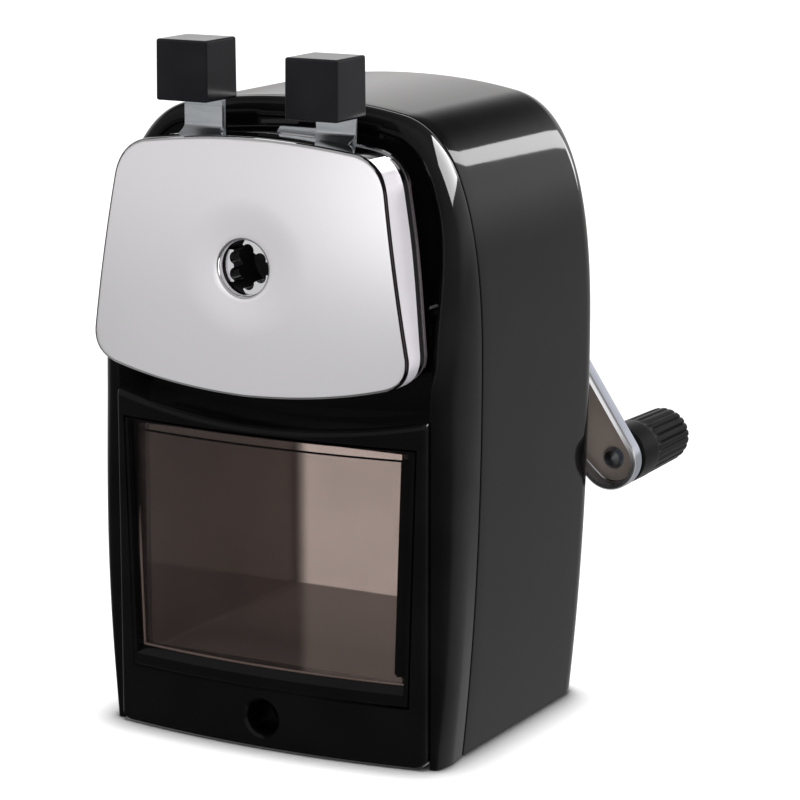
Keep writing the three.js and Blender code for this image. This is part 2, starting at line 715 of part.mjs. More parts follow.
function faceplate() {
  const outer = plateBody(PLATE_FRONT_Y, PLATE_BACK_Y, 0, PLATE_CROWN);
  const hollow = plateBody(PLATE_FRONT_Y + PLATE_WALL, 0, PLATE_WALL, PLATE_CROWN);
  let plate = cut(outer, hollow);
  for (const side of [-1, 1]) {
    const boss = rodY(side * ROD_X, ROD_Z, 3.2, PLATE_FRONT_Y, -26.9);
    plate = join(plate, boss);
    plate = cut(plate, rodY(side * ROD_X, ROD_Z, ROD_R + GAP, ROD_FRONT_Y - GAP, FAR, 16));
  }
  const dish = turned([
    [0, -50],
    [PENCIL_HOLE_R + 4, -50],
    [PENCIL_HOLE_R + 4, PLATE_FRONT_Y - PLATE_CROWN],
    [PENCIL_HOLE_R, PLATE_FRONT_Y - PLATE_CROWN + 0.9],
    [0, PLATE_FRONT_Y - PLATE_CROWN + 0.9],
  ]);
  return cut(plate, dish, rodY(0, AXIS_Z, PENCIL_HOLE_R, -FAR, FAR, 32));
}

const JAW_Y = [-36.2, -33];
const JAW_ANGLES = [60, 180, 300].map(THREE.MathUtils.degToRad);
const JAW_TIP_R = 2.95;
const JAW_WIDTH = 5.8;
const HUB_R = 7.4;
const HUB_REAR_Y = -25.6;

// A bar lying on the radius at an angle round the pencil's axis.
function radialBar(angle, from, to, width, y0, y1) {
  return box(from, to, y0, y1, -width / 2, width / 2)
    .rotate([0, -THREE.MathUtils.radToDeg(angle), 0])
    .translate([0, 0, AXIS_Z]);
}

function jawGuide() {
  const disc = rodY(0, AXIS_Z, 14, JAW_Y[0] + 0.4, PLATE_BACK_Y - 0.1, 36);
  const hub = rodY(0, AXIS_Z, HUB_R, PLATE_BACK_Y - 1, HUB_REAR_Y, 32);
  let guide = join(disc, hub);
  for (const angle of JAW_ANGLES) {
    guide = cut(guide, radialBar(angle, 0, 12.6, JAW_WIDTH + 2 * GAP, -FAR, JAW_Y[1] + GAP));
  }
  return cut(guide, rodY(0, AXIS_Z, PENCIL_HOLE_R, -FAR, FAR, 32));
}

// A jaw whose gripping edge has two round notches, so that three teeth bite on the pencil.
function jaw(angle) {
  const bar = radialBar(angle, JAW_TIP_R, 9.6, JAW_WIDTH, JAW_Y[0], JAW_Y[1]);
  const notches = [-1, 1].map((side) => {
    const along = JAW_TIP_R - 0.35;
    const across = side * 1.45;
    const x = along * Math.cos(angle) - across * Math.sin(angle);
    const z = AXIS_Z + along * Math.sin(angle) + across * Math.cos(angle);
    return rodY(x, z, 1.2, -FAR, FAR, 20);
  });
  return cut(bar, ...notches);
}

// A ring round the hub with a strip that rises behind the faceplate to a cap.
function lever(side, ringY, stripTop) {
  const ring = rodY(0, AXIS_Z, 12, ringY, ringY + LEVER_THICK, 36);
  const x = side * LEVER_X;
  const strip = outline(side > 0
    ? [[3, 95], [9.5, 88], [x + 3.4, 108], [x + 4, stripTop], [x - 4, stripTop], [x - 4, 108]]
    : [[-9.5, 88], [-3, 95], [x + 4, 108], [x + 4, stripTop], [x - 4, stripTop], [x - 3.4, 108]]);
  const plate = slabY(strip, ringY, ringY + LEVER_THICK);
  return cut(join(ring, plate), rodY(0, AXIS_Z, HUB_R + GAP, -FAR, FAR, 32));
}

function leverCap(side, topZ, stripY) {
  const x = side * LEVER_X;
  const block = new THREE.Shape();
  block.moveTo(x - 5.2, topZ - 11);
  block.lineTo(x + 5.2, topZ - 11);
  block.lineTo(x + 4.9, topZ);
  block.lineTo(x - 4.9, topZ);
  const body = slabY(block, -36.6, -26.1);
  const slot = box(x - 4 - GAP, x + 4 + GAP, stripY - GAP, stripY + LEVER_THICK + GAP, 0, topZ - 2);
  return cut(body, slot);
}

function carriagePlate() {
  const shape = outline([
    [-28, 76], [28, 76], [27, 86], [14, 92], [12.5, 103], [9.5, 115], [1, 115], [-1.5, 111],
    [-9, 104], [-14, 92], [-27, 86],
  ]);
  let plate = slabY(shape, -26.3, -25.4);
  for (const side of [-1, 1]) {
    plate = cut(plate, rodY(side * ROD_X, ROD_Z, ROD_R + GAP, -FAR, 0, 16));
  }
  return cut(plate, rodY(0, AXIS_Z, HUB_R + GAP, -FAR, FAR, 32));
}

// A round wire bent along a curve.
function wire(curve, radius, steps, sides) {
  const section = new THREE.Shape();
  for (let i = 0; i < sides; i++) {
    const angle = (2 * Math.PI * i) / sides;
    const move = i ? "lineTo" : "moveTo";
    section[move](radius * Math.cos(angle), radius * Math.sin(angle));
  }
  return new THREE.ExtrudeGeometry(section, { steps, extrudePath: curve, bevelEnabled: false });
}

class Coil extends THREE.Curve {
  constructor(x, z, radius, y0, y1, turns) {
    super();
    Object.assign(this, { x, z, radius, y0, y1, turns });
  }
  getPoint(t, target = new THREE.Vector3()) {
    const angle = 2 * Math.PI * this.turns * t;
    const y = this.y0 + (this.y1 - this.y0) * t;
    return target.set(this.x + this.radius * Math.cos(angle), y, this.z + this.radius * Math.sin(angle));
  }
}

// An open loop round the hub whose two ends rise towards the levers.
function leverSpring() {
  const y = -24.6;
  const points = [new THREE.Vector3(-8.5, y, AXIS_Z + 16)];
  const turns = 10;
  for (let i = 0; i <= turns; i++) {
    const angle = Math.PI * 0.72 + (Math.PI * 1.56 * i) / turns;
    points.push(new THREE.Vector3(10.6 * Math.cos(angle), y, AXIS_Z + 10.6 * Math.sin(angle)));
  }
  points.push(new THREE.Vector3(8.5, y, AXIS_Z + 16));
  return wire(new THREE.CatmullRomCurve3(points), 0.5, 26, 5);
}

piece("faceplate", faceplate(), chrome);
piece("jaw_guide", jawGuide(), blackMatte);
JAW_ANGLES.forEach((angle, i) => piece(`jaw_${i + 1}`, jaw(angle), chrome));
piece("carriage_plate", carriagePlate(), zinc);
piece("lever_left", lever(-1, LEVER_LEFT_Y, CAP_TOP_Z - 2.3), zinc);
piece("lever_right", lever(1, LEVER_RIGHT_Y, CAP_TOP_Z - RIGHT_CAP_DROP - 2.3), zinc);
piece("lever_cap_left", leverCap(-1, CAP_TOP_Z, LEVER_LEFT_Y), blackGloss);
piece("lever_cap_right", leverCap(1, CAP_TOP_Z - RIGHT_CAP_DROP, LEVER_RIGHT_Y), blackGloss);
piece("lever_spring", leverSpring(), zinc);

const CLIP_Y = ROD_REAR_Y - 1.8;
for (const [word, side] of [["left", -1], ["right", 1]]) {
  const x = side * ROD_X;
  piece(`guide_rod_${word}`, rodY(x, ROD_Z, ROD_R, ROD_FRONT_Y, ROD_REAR_Y, 16), chrome);
  piece(`rod_bush_${word}`, turned([
    [ROD_R + GAP, RECESS_Y - 1.6],
    [4.2, RECESS_Y - 1.6],
    [4.2, RECESS_Y - GAP],
    [3, RECESS_Y - GAP],
    [3, -18],
    [ROD_R + GAP, -18],
  ], x, ROD_Z, 20), blackMatte);
  piece(`rod_clip_${word}`, turned([
    [ROD_R + GAP, CLIP_Y],
    [3.4, CLIP_Y],
    [3.4, CLIP_Y + 0.9],
    [ROD_R + GAP, CLIP_Y + 0.9],
  ], x, ROD_Z, 20), zinc);
  piece(`return_spring_${word}`, wire(new Coil(x, ROD_Z, 2.4, -17.2, CLIP_Y - 0.7, 9), 0.35, 63, 4), zinc);
}

export default root;
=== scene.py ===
"""Looks of the hand-crank pencil sharpener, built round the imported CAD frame."""

import json
import math

import bmesh
import bpy
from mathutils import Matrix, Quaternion, Vector


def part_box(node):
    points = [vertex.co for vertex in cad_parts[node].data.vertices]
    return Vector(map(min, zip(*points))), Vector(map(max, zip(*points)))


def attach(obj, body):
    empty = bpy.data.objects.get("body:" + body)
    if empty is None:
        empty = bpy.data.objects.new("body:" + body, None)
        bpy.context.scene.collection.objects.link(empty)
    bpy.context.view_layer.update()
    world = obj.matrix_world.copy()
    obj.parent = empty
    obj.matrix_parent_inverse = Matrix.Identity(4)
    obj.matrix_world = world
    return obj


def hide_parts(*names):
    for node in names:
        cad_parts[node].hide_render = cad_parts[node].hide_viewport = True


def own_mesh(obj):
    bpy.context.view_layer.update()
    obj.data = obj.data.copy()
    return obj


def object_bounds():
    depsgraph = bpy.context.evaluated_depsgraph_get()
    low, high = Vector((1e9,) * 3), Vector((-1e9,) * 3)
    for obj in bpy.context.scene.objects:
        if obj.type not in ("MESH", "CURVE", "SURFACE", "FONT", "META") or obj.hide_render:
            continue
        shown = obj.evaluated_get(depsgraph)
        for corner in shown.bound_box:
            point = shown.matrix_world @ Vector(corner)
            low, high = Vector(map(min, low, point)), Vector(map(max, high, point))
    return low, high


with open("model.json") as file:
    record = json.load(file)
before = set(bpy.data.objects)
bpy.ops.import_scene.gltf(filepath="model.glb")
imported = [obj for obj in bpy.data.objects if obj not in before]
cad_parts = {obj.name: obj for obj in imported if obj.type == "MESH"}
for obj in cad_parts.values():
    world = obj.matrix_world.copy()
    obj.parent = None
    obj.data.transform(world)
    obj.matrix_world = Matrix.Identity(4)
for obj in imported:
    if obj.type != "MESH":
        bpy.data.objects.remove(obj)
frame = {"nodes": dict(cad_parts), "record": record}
cad_low, cad_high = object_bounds()
nodes = frame["nodes"]

MM = 0.001

# Driving dimensions of the frame, in millimetres

SOLE = 0.15  # the shells stand this far above the floor, on the pad
AXIS_Z = 90.8
SEAM_Y = -18.8
REAR_Y = 32.0
REAR_FILLET = 8.0
RECESS_Y = -22.5
PANEL_Y = -30.0
PANEL_BOW = 3.0
PANEL_HALF = 32.8
WALL = 2.2
GAP = 0.3
DRAWER_TOP_HALF = 30.7
DRAWER_BOTTOM_HALF = 29.3
DRAWER_LOW_Z = 11.7
DRAWER_HIGH_Z = 59.2
TRAY_HALF = 28.2
TRAY_HIGH_Z = 57.6
TRAY_REAR_Y = 28.0
TRAY_WALL = 0.9
PANE_LOW_Z = 15.3
PANE_HIGH_Z = 58.8
PANE_BOTTOM_HALF = 28.1
PANE_TOP_HALF = 29.6
PLATE_FRONT_Y = -37.6
PLATE_CROWN = 1.2
PLATE_BACK_Y = -29.7
PLATE_SHEET = 1.2
PENCIL_HOLE_R = 5.0
HOLE_REAR_Y = -33.2
HOLE_PAINTED_SHADE_Y = -36.8  # behind this the hole's wall is painted dark as shade
CLAMP_Z = 6.0
CLAMP_R = 3.4
ARM_LENGTH = 59.5
ARM_ANGLE = math.radians(40.2)
ARM_HUB_R = 12.8
ARM_TIP_R = 5.9
ARM_FRONT_Y = 33.9
ARM_REAR_Y = 38.0
ARM_SHEET = 1.0
KNOB_R = 5.8
KNOB_REAR_Y = 62.8
RIVET_HOLE_R = 1.8
KNOB_X = ARM_LENGTH * math.sin(ARM_ANGLE)
KNOB_Z = AXIS_Z - ARM_LENGTH * math.cos(ARM_ANGLE)
SHELL_SCREW = (20.0, AXIS_Z + 14)
ROD = (24.0, 80.8)
FAR_FLOOR = 30000.0

# Low, high, bottom half-width and top half-width of the drawer's front and of its pane
DRAWER_EDGE = (DRAWER_LOW_Z, DRAWER_HIGH_Z, DRAWER_BOTTOM_HALF, DRAWER_TOP_HALF)
PANE_EDGE = (PANE_LOW_Z, PANE_HIGH_Z, PANE_BOTTOM_HALF, PANE_TOP_HALF)
LIP_EDGE = (PANE_LOW_Z, PANE_HIGH_Z, TRAY_HALF - 1.0, TRAY_HALF - 1.0)

# Camera: the photograph's viewing angle

CAMERA_AZIMUTH = math.radians(28.611)
CAMERA_ELEVATION = math.radians(12.089)
CAMERA_TARGET = Vector((14.8, -6.8, 62.6)) * MM
CAMERA_DISTANCE = 603.6 * MM
CAMERA_LENS = 146.5

towards_camera = Vector((
    math.sin(CAMERA_AZIMUTH) * math.cos(CAMERA_ELEVATION),
    -math.cos(CAMERA_AZIMUTH) * math.cos(CAMERA_ELEVATION),
    math.sin(CAMERA_ELEVATION),
))
camera = bpy.data.objects.new("camera", bpy.data.cameras.new("camera"))
bpy.context.scene.collection.objects.link(camera)
camera.data.lens = CAMERA_LENS
camera.data.sensor_width = 36
camera.data.clip_start = 0.01
camera.location = CAMERA_TARGET + towards_camera * CAMERA_DISTANCE
camera.rotation_mode = "QUATERNION"
camera.rotation_quaternion = (-towards_camera).to_track_quat("-Z", "Y")
bpy.context.scene.camera = camera

# Materials


def value_range(tree, source, low, high):
    """A Map Range node that spreads a 0 to 1 value over a range."""
    node = tree.nodes.new("ShaderNodeMapRange")
    node.inputs["To Min"].default_value = low
    node.inputs["To Max"].default_value = high
    tree.links.new(source, node.inputs["Value"])
    return node.outputs["Result"]


def noise(tree, scale, detail=3.0, stretch=(1, 1, 1)):
    """Noise in the object's own space, with scale in features per metre."""
    place = tree.nodes.new("ShaderNodeTexCoord")
    mapping = tree.nodes.new("ShaderNodeMapping")
    mapping.inputs["Scale"].default_value = stretch
    tree.links.new(place.outputs["Object"], mapping.inputs["Vector"])
    texture = tree.nodes.new("ShaderNodeTexNoise")
    texture.inputs["Scale"].default_value = scale
    texture.inputs["Detail"].default_value = detail
    tree.links.new(mapping.outputs["Vector"], texture.inputs["Vector"])
    return texture.outputs["Fac"]


def material(name, dark, light, rough, *, metallic=0.0, colour_scale=90, rough_scale=160,
             bump=0.0, bump_scale=600, stretch=(1, 1, 1), **sockets):
    """Colour and roughness drift with noise, and a second noise lifts the surface."""
    made = bpy.data.materials.new(name)
    made.use_nodes = True
    tree = made.node_tree
    shader = tree.nodes["Principled BSDF"]
    ramp = tree.nodes.new("ShaderNodeValToRGB")
    ramp.color_ramp.elements[0].position = 0.35
    ramp.color_ramp.elements[0].color = (*dark, 1)
    ramp.color_ramp.elements[1].position = 0.65
    ramp.color_ramp.elements[1].color = (*light, 1)
    tree.links.new(noise(tree, colour_scale, 4, stretch), ramp.inputs["Fac"])
    tree.links.new(ramp.outputs["Color"], shader.inputs["Base Color"])
    spread = value_range(tree, noise(tree, rough_scale, 4, stretch), *rough)
    tree.links.new(spread, shader.inputs["Roughness"])
    shader.inputs["Metallic"].default_value = metallic
    for socket, value in sockets.items():
        shader.inputs[socket.replace("_", " ")].default_value = value
    if bump:
        lift = tree.nodes.new("ShaderNodeBump")
        lift.inputs["Strength"].default_value = bump
        lift.inputs["Distance"].default_value = 0.0002
        tree.links.new(noise(tree, bump_scale, 3, stretch), lift.inputs["Height"])
        tree.links.new(lift.outputs["Normal"], shader.inputs["Normal"])
    return made


GLOSS = material("gloss_black", (0.0018, 0.0018, 0.002), (0.003, 0.0028, 0.003), (0.04, 0.065),
                 bump=0.02, bump_scale=260, IOR=1.34)
MATTE = material("matte_black", (0.018, 0.018, 0.019), (0.028, 0.027, 0.028), (0.42, 0.60),
                 bump=0.25, bump_scale=2600)
CAP = material("cap_black", (0.009, 0.009, 0.0105), (0.013, 0.013, 0.0155), (0.12, 0.20),
               bump=0.02, bump_scale=900, IOR=1.30, Specular_IOR_Level=0.42)
KNOB = material("knob_black", (0.0035, 0.0035, 0.004), (0.0065, 0.006, 0.0065), (0.24, 0.34),
                bump=0.12, bump_scale=2200, IOR=1.2, Specular_IOR_Level=0.28)
RUBBER = material("rubber", (0.020, 0.020, 0.020), (0.034, 0.033, 0.032), (0.75, 0.92),
                  bump=0.45, bump_scale=3200)
CHROME = material("chrome", (0.86, 0.86, 0.885), (0.90, 0.90, 0.92), (0.05, 0.09),
                  metallic=1.0, bump=0.01, bump_scale=200)
PLATE = material("plate_chrome", (0.865, 0.85, 0.872), (0.88, 0.865, 0.885), (0.25, 0.28),
                 metallic=1.0, colour_scale=25, rough_scale=25)
# A darker, half-metallic copy of the chrome, painted on the faceplate's sides as shade
SIDE_PAINTED_SHADE = material("side_painted_shade_chrome", (0.50, 0.48, 0.51), (0.54, 0.52, 0.55), (0.14, 0.20),
                metallic=0.35)
# A dark copy of the chrome, painted on the faceplate as shade and as a dark reflection
PAINTED_SHADE = material("painted_shade_chrome", (0.016, 0.013, 0.014), (0.026, 0.022, 0.024), (0.10, 0.16),
                 metallic=1.0)
# A darker blue-grey copy of the chrome, painted on the arm's flange as a reflection
FLANGE_PAINTED_REFLECTION = material("flange_painted_reflection", (0.46, 0.49, 0.57), (0.55, 0.58, 0.66), (0.08, 0.14),
                  metallic=1.0)
WEB = material("pressed_web", (0.32, 0.265, 0.23), (0.38, 0.32, 0.28), (0.34, 0.46),
               metallic=0.35, bump=0.10, bump_scale=1200)
ZINC = material("zinc_steel", (0.41, 0.435, 0.46), (0.52, 0.54, 0.56), (0.22, 0.38),
                metallic=1.0, bump=0.08, bump_scale=900, stretch=(1, 1, 6))
WIRE = material("spring_wire", (0.44, 0.45, 0.47), (0.56, 0.57, 0.59), (0.22, 0.34),
                metallic=1.0, bump=0.08, bump_scale=1500)
CAST = material("cast_metal", (0.38, 0.39, 0.40), (0.50, 0.51, 0.52), (0.40, 0.58),
                metallic=1.0, bump=0.35, bump_scale=1400)
TOOL = material("tool_steel", (0.25, 0.26, 0.28), (0.38, 0.39, 0.41), (0.18, 0.32),
                metallic=1.0, bump=0.12, bump_scale=1800, stretch=(1, 4, 1))
NYLON = material("nylon", (0.72, 0.70, 0.65), (0.82, 0.80, 0.76), (0.40, 0.55),
                 bump=0.12, bump_scale=1500, Subsurface_Weight=0.15)
TRAY = material("tray_smoked", (0.118, 0.093, 0.083), (0.134, 0.106, 0.095), (0.03, 0.06),
                Specular_IOR_Level=0.22)
WINDOW = material("window_smoked", (0.035, 0.026, 0.024), (0.045, 0.033, 0.030), (0.02, 0.05),
                  bump=0.01, bump_scale=200, Alpha=0.27)
# A lighter, more opaque smoke, painted on the pane's top bevel as a highlight
BEVEL = material("window_bevel_highlight", (0.16, 0.13, 0.12), (0.20, 0.16, 0.15), (0.02, 0.05),
                 Alpha=0.08)
# A lighter opaque brown, painted on the pane's edges as a highlight
EDGE_HIGHLIGHT = material("window_edge_highlight", (0.26, 0.19, 0.165), (0.32, 0.24, 0.21), (0.10, 0.18))

LOOK = {
    "gloss_black": GLOSS, "matte_black": MATTE, "rubber": RUBBER, "chrome": CHROME,
    "zinc_steel": ZINC, "spring_wire": WIRE, "cast_metal": CAST, "tool_steel": TOOL,
    "nylon": NYLON, "smoked_clear": TRAY,
}
for part in frame["record"]["subparts"]:
    node = nodes[part["node"]]
    node.data.materials.clear()
    node.data.materials.append(LOOK[part["material_slot"]])

# Meshes


def mesh_object(name, points, faces):
    """A mesh from points in millimetres, with its faces turned outwards."""
    mesh = bpy.data.meshes.new(name)
    mesh.from_pydata([Vector(p) * MM for p in points], [], faces)
    made = bpy.data.objects.new(name, mesh)
    bpy.context.scene.collection.objects.link(made)
    shape = bmesh.new()
    shape.from_mesh(mesh)
    bmesh.ops.remove_doubles(shape, verts=shape.verts, dist=1e-7)
    bmesh.ops.recalc_face_normals(shape, faces=shape.faces)
    shape.to_mesh(mesh)
    shape.free()
    return made


def loft(name, rings, caps=True):
    """A skin over closed rings of equally many points, with flat caps on both ends."""
    count = len(rings[0])
    points = [p for ring in rings for p in ring]
    faces = []
    for r in range(len(rings) - 1):
        for i in range(count):
            a, b = r * count + i, r * count + (i + 1) % count
            faces.append((a, b, b + count, a + count))
    if caps:
        faces.append(tuple(range(count)))
        faces.append(tuple(range((len(rings) - 1) * count, len(rings) * count)))
    return mesh_object(name, points, faces)


def tube(name, rings):
    """A closed skin whose last ring joins its first."""
    count = len(rings[0])
    points = [p for ring in rings for p in ring]
    faces = []
    for r in range(len(rings)):
        here, following = r * count, (r + 1) % len(rings) * count
        for i in range(count):
            j = (i + 1) % count
            faces.append((here + i, here + j, following + j, following + i))
    return mesh_object(name, points, faces)


def circle(x, z, radius, y, count):
    turns = [2 * math.pi * i / count for i in range(count)]
    return [(x + radius * math.cos(a), y, z + radius * math.sin(a)) for a in turns]


def turned(name, profile, x=0.0, z=AXIS_Z, count=72):
    """A piece turned on an axis along Y, from a profile of (radius, y)."""
    return loft(name, [circle(x, z, max(r, 0.01), y, count) for r, y in profile])


def box(name, x0, x1, y0, y1, z0, z1):
    low, high = [(x0, y0), (x1, y0), (x1, y1), (x0, y1)], (z0, z1)
    return loft(name, [[(x, y, z) for x, y in low] for z in high])


def bake(piece):
    """Applies the piece's modifiers."""
    depsgraph = bpy.context.evaluated_depsgraph_get()
    mesh = bpy.data.meshes.new_from_object(piece.evaluated_get(depsgraph))
    piece.modifiers.clear()
    piece.data = mesh
    return piece


def combine(piece, tools, operation):
    for tool in tools:
        step = piece.modifiers.new("combine", "BOOLEAN")
        step.operation = operation
        step.solver = "EXACT"
        step.object = tool
        bake(piece)
        bpy.data.objects.remove(tool)
    return piece


def cut(piece, *tools):
    return combine(piece, tools, "DIFFERENCE")


def join(piece, *tools):
    return combine(piece, tools, "UNION")


def bevel(piece, width, segments=3, angle=35):
    step = piece.modifiers.new("bevel", "BEVEL")
    step.width = width * MM
    step.segments = segments
    step.limit_method = "ANGLE"
    step.angle_limit = math.radians(angle)
    return bake(piece)


def finish_piece(piece, look, body, slot, *replaced, sharp=32):
    """Smooth shading, a material, the body that it rides on and what it stands for."""
    piece.data.materials.clear()
    piece.data.materials.append(look)
    for face in piece.data.polygons:
        face.use_smooth = True
        face.material_index = 0
    piece.data.set_sharp_from_angle(angle=math.radians(sharp))
    weigh = piece.modifiers.new("normals", "WEIGHTED_NORMAL")
    weigh.keep_sharp = True
    bake(piece)
    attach(piece, body)
    if replaced:
        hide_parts(*replaced)
    return piece


def repaint(piece, look, chosen):
    """Gives a second look to the faces that a test picks by centre (mm) and normal."""
    piece.data.materials.append(look)
    for face in piece.data.polygons:
        if chosen(face.center / MM, face.normal):
            face.material_index = len(piece.data.materials) - 1


# Curves


def bezier(controls, count):
    """Points along a Bezier curve, without its last one."""
    found = []
    for i in range(count):
        layer, t = [Vector(c) for c in controls], i / count
        while len(layer) > 1:
            layer = [a.lerp(b, t) for a, b in zip(layer, layer[1:])]
        found.append(layer[0])
    return found


def smooth(low, high, value):
    """A smooth step from 0 at low to 1 at high."""
    t = min(max((value - low) / (high - low), 0.0), 1.0)
    return t * t * (3 - 2 * t)


def quarter(count, power=2.0):
    """(1 - cos, sin) over a quarter turn, or over a squarer superellipse."""
    turns = [math.pi / 2 * i / count for i in range(count + 1)]
    share = 2 / power
    return [(1 - max(math.cos(a), 0) ** share, math.sin(a) ** share) for a in turns]


# Half of the body's outline, from the base up to the middle of the top
HALF_ARCH = (
    bezier([(34.5, SOLE), (38.3, 34), (38.2, 74)], 30)
    + bezier([(38.2, 74), (38.2, 98), (34, 115.6), (21.8, 117.6)], 44)
    + bezier([(21.8, 117.6), (12, 119.6), (0, 119.6)], 18)
    + [Vector((0, 119.6))]
)
ARCH = HALF_ARCH + [Vector((-p.x, p.y)) for p in reversed(HALF_ARCH[:-1])]


def inwards(points, closed):
    """The unit vector that points into an outline running anticlockwise, at each point."""
    found, count = [], len(points)
    for i in range(count):
        before = points[i - 1] if closed or i else points[0]
        after = points[(i + 1) % count] if closed or i + 1 < count else points[-1]
        along = (after - before).normalized()
        found.append(Vector((-along.y, along.x)))
    return found


ARCH_INWARDS = inwards(ARCH, False)


def arch(inset, y, base=SOLE):
    """The body's outline at a station along Y, inset, with its two feet at a height."""
    ring = [p + n * inset for p, n in zip(ARCH, ARCH_INWARDS)]
    ring[0].y = ring[-1].y = base
    return [(p.x, y, p.y) for p in ring]


def panel_y(x):
    """Front of the bowed lower panel."""
    return PANEL_Y - PANEL_BOW * (1 - (x / PANEL_HALF) ** 2)


# Rear shell


def rear_shell():
    """The gloss shell behind the seam, open below, with the crank's bore and screw seats."""
    bead, bore_r, screw_r, seat_r, seat_deep = 0.35, 5.4, 1.8, 3.3, 1.2
    inside, behind = REAR_Y - 12, REAR_Y + 8
    seam = [(SEAM_Y, bead), (SEAM_Y + 0.12, 0.12), (SEAM_Y + bead, 0.0)]
    straight = [(SEAM_Y + bead + 3.2 * i, 0.0) for i in range(1, 13)]
    fillet = [(REAR_Y - REAR_FILLET + REAR_FILLET * s, REAR_FILLET * c) for c, s in quarter(14)]
    stations = seam + [s for s in straight if s[0] < REAR_Y - REAR_FILLET - 0.5] + fillet
    outer = loft("rear_shell_skin", [arch(inset, y) for y, inset in stations])
    radius = REAR_FILLET - WALL
    hollow = [(SEAM_Y - 2, WALL)] + [
        (REAR_Y - WALL - radius + radius * s, WALL + radius * c) for c, s in quarter(8)
    ]
    tools = [
        loft("hollow", [arch(inset, y, -10) for y, inset in hollow]),
        turned("bore", [(bore_r, inside), (bore_r, behind)]),
    ]
    for side in (-1, 1):
        x, z = side * SHELL_SCREW[0], SHELL_SCREW[1]
        seat = [(seat_r, REAR_Y - seat_deep), (seat_r, REAR_Y), (seat_r + 0.6, behind)]
        tools.append(turned("hole", [(screw_r, inside), (screw_r, behind)], x, z, 32))
        tools.append(turned("seat", seat, x, z, 48))
    shell = cut(outer, *tools)
    finish_piece(shell, GLOSS, "root", "gloss_black", "rear_shell")


rear_shell()

# Front housing


def rim_section(point):
    """The closed section of the rim at a point of the arch: (inset, y) pairs."""
    z = point.y
    # The rim's front edge leans back from the faceplate's foot up to the top.
    lip_y = -28.9 - 0.1 * smooth(0, 66, z) + 5.0 * smooth(66, 104, z) + 1.2 * smooth(104, 118, z)
    lower_lip = max(abs(point.x) - (PANEL_HALF + 0.45), 1.2)
    upper_lip = 4.7 - 1.6 * smooth(76, 106, z)
    lip = lower_lip + (upper_lip - lower_lip) * smooth(62, 74, z)
    front = SEAM_Y - GAP
    section = [(WALL, front), (0.25, front), (0.05, front - 0.1)]
    # The columns are squarer than the rim and swell a little ahead of the seam.
    squareness = 2.2 + 3.4 * (1 - smooth(0, 72, z))
    swell = 0.6 * (1 - smooth(12, 50, z))
    section += [
        (lip * c - swell * math.sin(math.pi * s), front - 0.2 + (lip_y - front + 0.2) * s)
        for c, s in quarter(16, squareness)
    ]
    section += [(lip + 0.32, lip_y + 0.06), (lip + 0.55, lip_y + 0.26), (lip + 0.65, lip_y + 0.6)]
    wall = lip + 0.8
    floor = max(RECESS_Y, lip_y + 0.7)
    section += [(wall, floor - 0.02), (wall, floor + 2.0), (WALL, floor + 2.0)]
    return section


def front_housing():
    """The rim swept round the arch, the recess's floor and the lower panel, in one piece."""
    rings = []
    for point, inward in zip(ARCH, ARCH_INWARDS):
        foot = abs(point.x) > 30 and point.y < 2
        rings.append([
            (point.x + inward.x * inset, y, SOLE if foot else point.y + inward.y * inset)
            for inset, y in rim_section(point)
        ])
    rim = loft("front_housing_skin", rings)
    floor_low_z = 58
    recess_floor = loft("recess_floor", [
        [p for p in arch(3.0, y, floor_low_z) if p[2] >= floor_low_z]
        for y in (RECESS_Y, RECESS_Y + WALL)
    ])
    return join(rim, recess_floor, lower_panel())


def lower_panel():
    """The bowed panel below the faceplate, with a rounded top edge and lower corners."""
    steps, edge_r, top_r, foot_r, chamfer = 120, 0.9, 1.3, 2.4, 0.4
    rear = RECESS_Y + 1.2
    side = [(PANEL_HALF - edge_r + edge_r * s, edge_r * c) for c, s in quarter(6)]
    across = [-PANEL_HALF + 2 * PANEL_HALF * i / steps for i in range(steps + 1)]
    middle = [(x, 0.0) for x in across if abs(x) < PANEL_HALF - edge_r]
    sections = []
    for x, setback in [(-x, d) for x, d in reversed(side)] + middle + side:
        front = panel_y(x) + setback
        top = 61.1 + 3.5 * (x / PANEL_HALF) ** 2
        past = max(abs(x) - (PANEL_HALF - foot_r), 0.0)
        foot = SOLE + foot_r - math.sqrt(max(foot_r ** 2 - past ** 2, 0.0))
        section = [(x, rear, foot), (x, front + chamfer, foot), (x, front, foot + chamfer)]
        section += [(x, front + top_r * c, top - top_r + top_r * s) for c, s in quarter(6)]
        sections.append(section + [(x, rear, top + 0.6)])
    return loft("panel", sections)


def trapezium(margin, y):
    """The outline of the drawer's front, larger by a margin."""
    low, high = DRAWER_LOW_Z - margin, DRAWER_HIGH_Z + margin
    bottom, top = DRAWER_BOTTOM_HALF + margin, DRAWER_TOP_HALF + margin
    return [(-bottom, y, low), (bottom, y, low), (top, y, high), (-top, y, high)]


AHEAD = -60  # cutting tools start this far in front
HUB_HOLE_R = 9.0
ROD_HOLE_R = 3.3
CLAMP_FLARE = 0.6

housing = cut(
    front_housing(),
    loft("rebate", [trapezium(GAP, AHEAD), trapezium(GAP, PANEL_Y + 0.6)]),
    box("opening", -TRAY_HALF - 0.5, TRAY_HALF + 0.5, AHEAD, 0, 11.3, TRAY_HIGH_Z + 0.6),
    turned("hub_hole", [(HUB_HOLE_R, AHEAD), (HUB_HOLE_R, 0)]),
    turned("clamp_hole", [(CLAMP_R, 0), (CLAMP_R, -32.4), (CLAMP_R + CLAMP_FLARE, -33.2),
                          (CLAMP_R + CLAMP_FLARE, AHEAD)], 0, CLAMP_Z, 48),
    *[turned("rod_hole", [(ROD_HOLE_R, AHEAD), (ROD_HOLE_R, 0)], side * ROD[0], ROD[1], 40)
      for side in (-1, 1)],
)
finish_piece(housing, GLOSS, "root", "gloss_black", "front_housing")

# Drawer: a smoked tray with a bevelled window


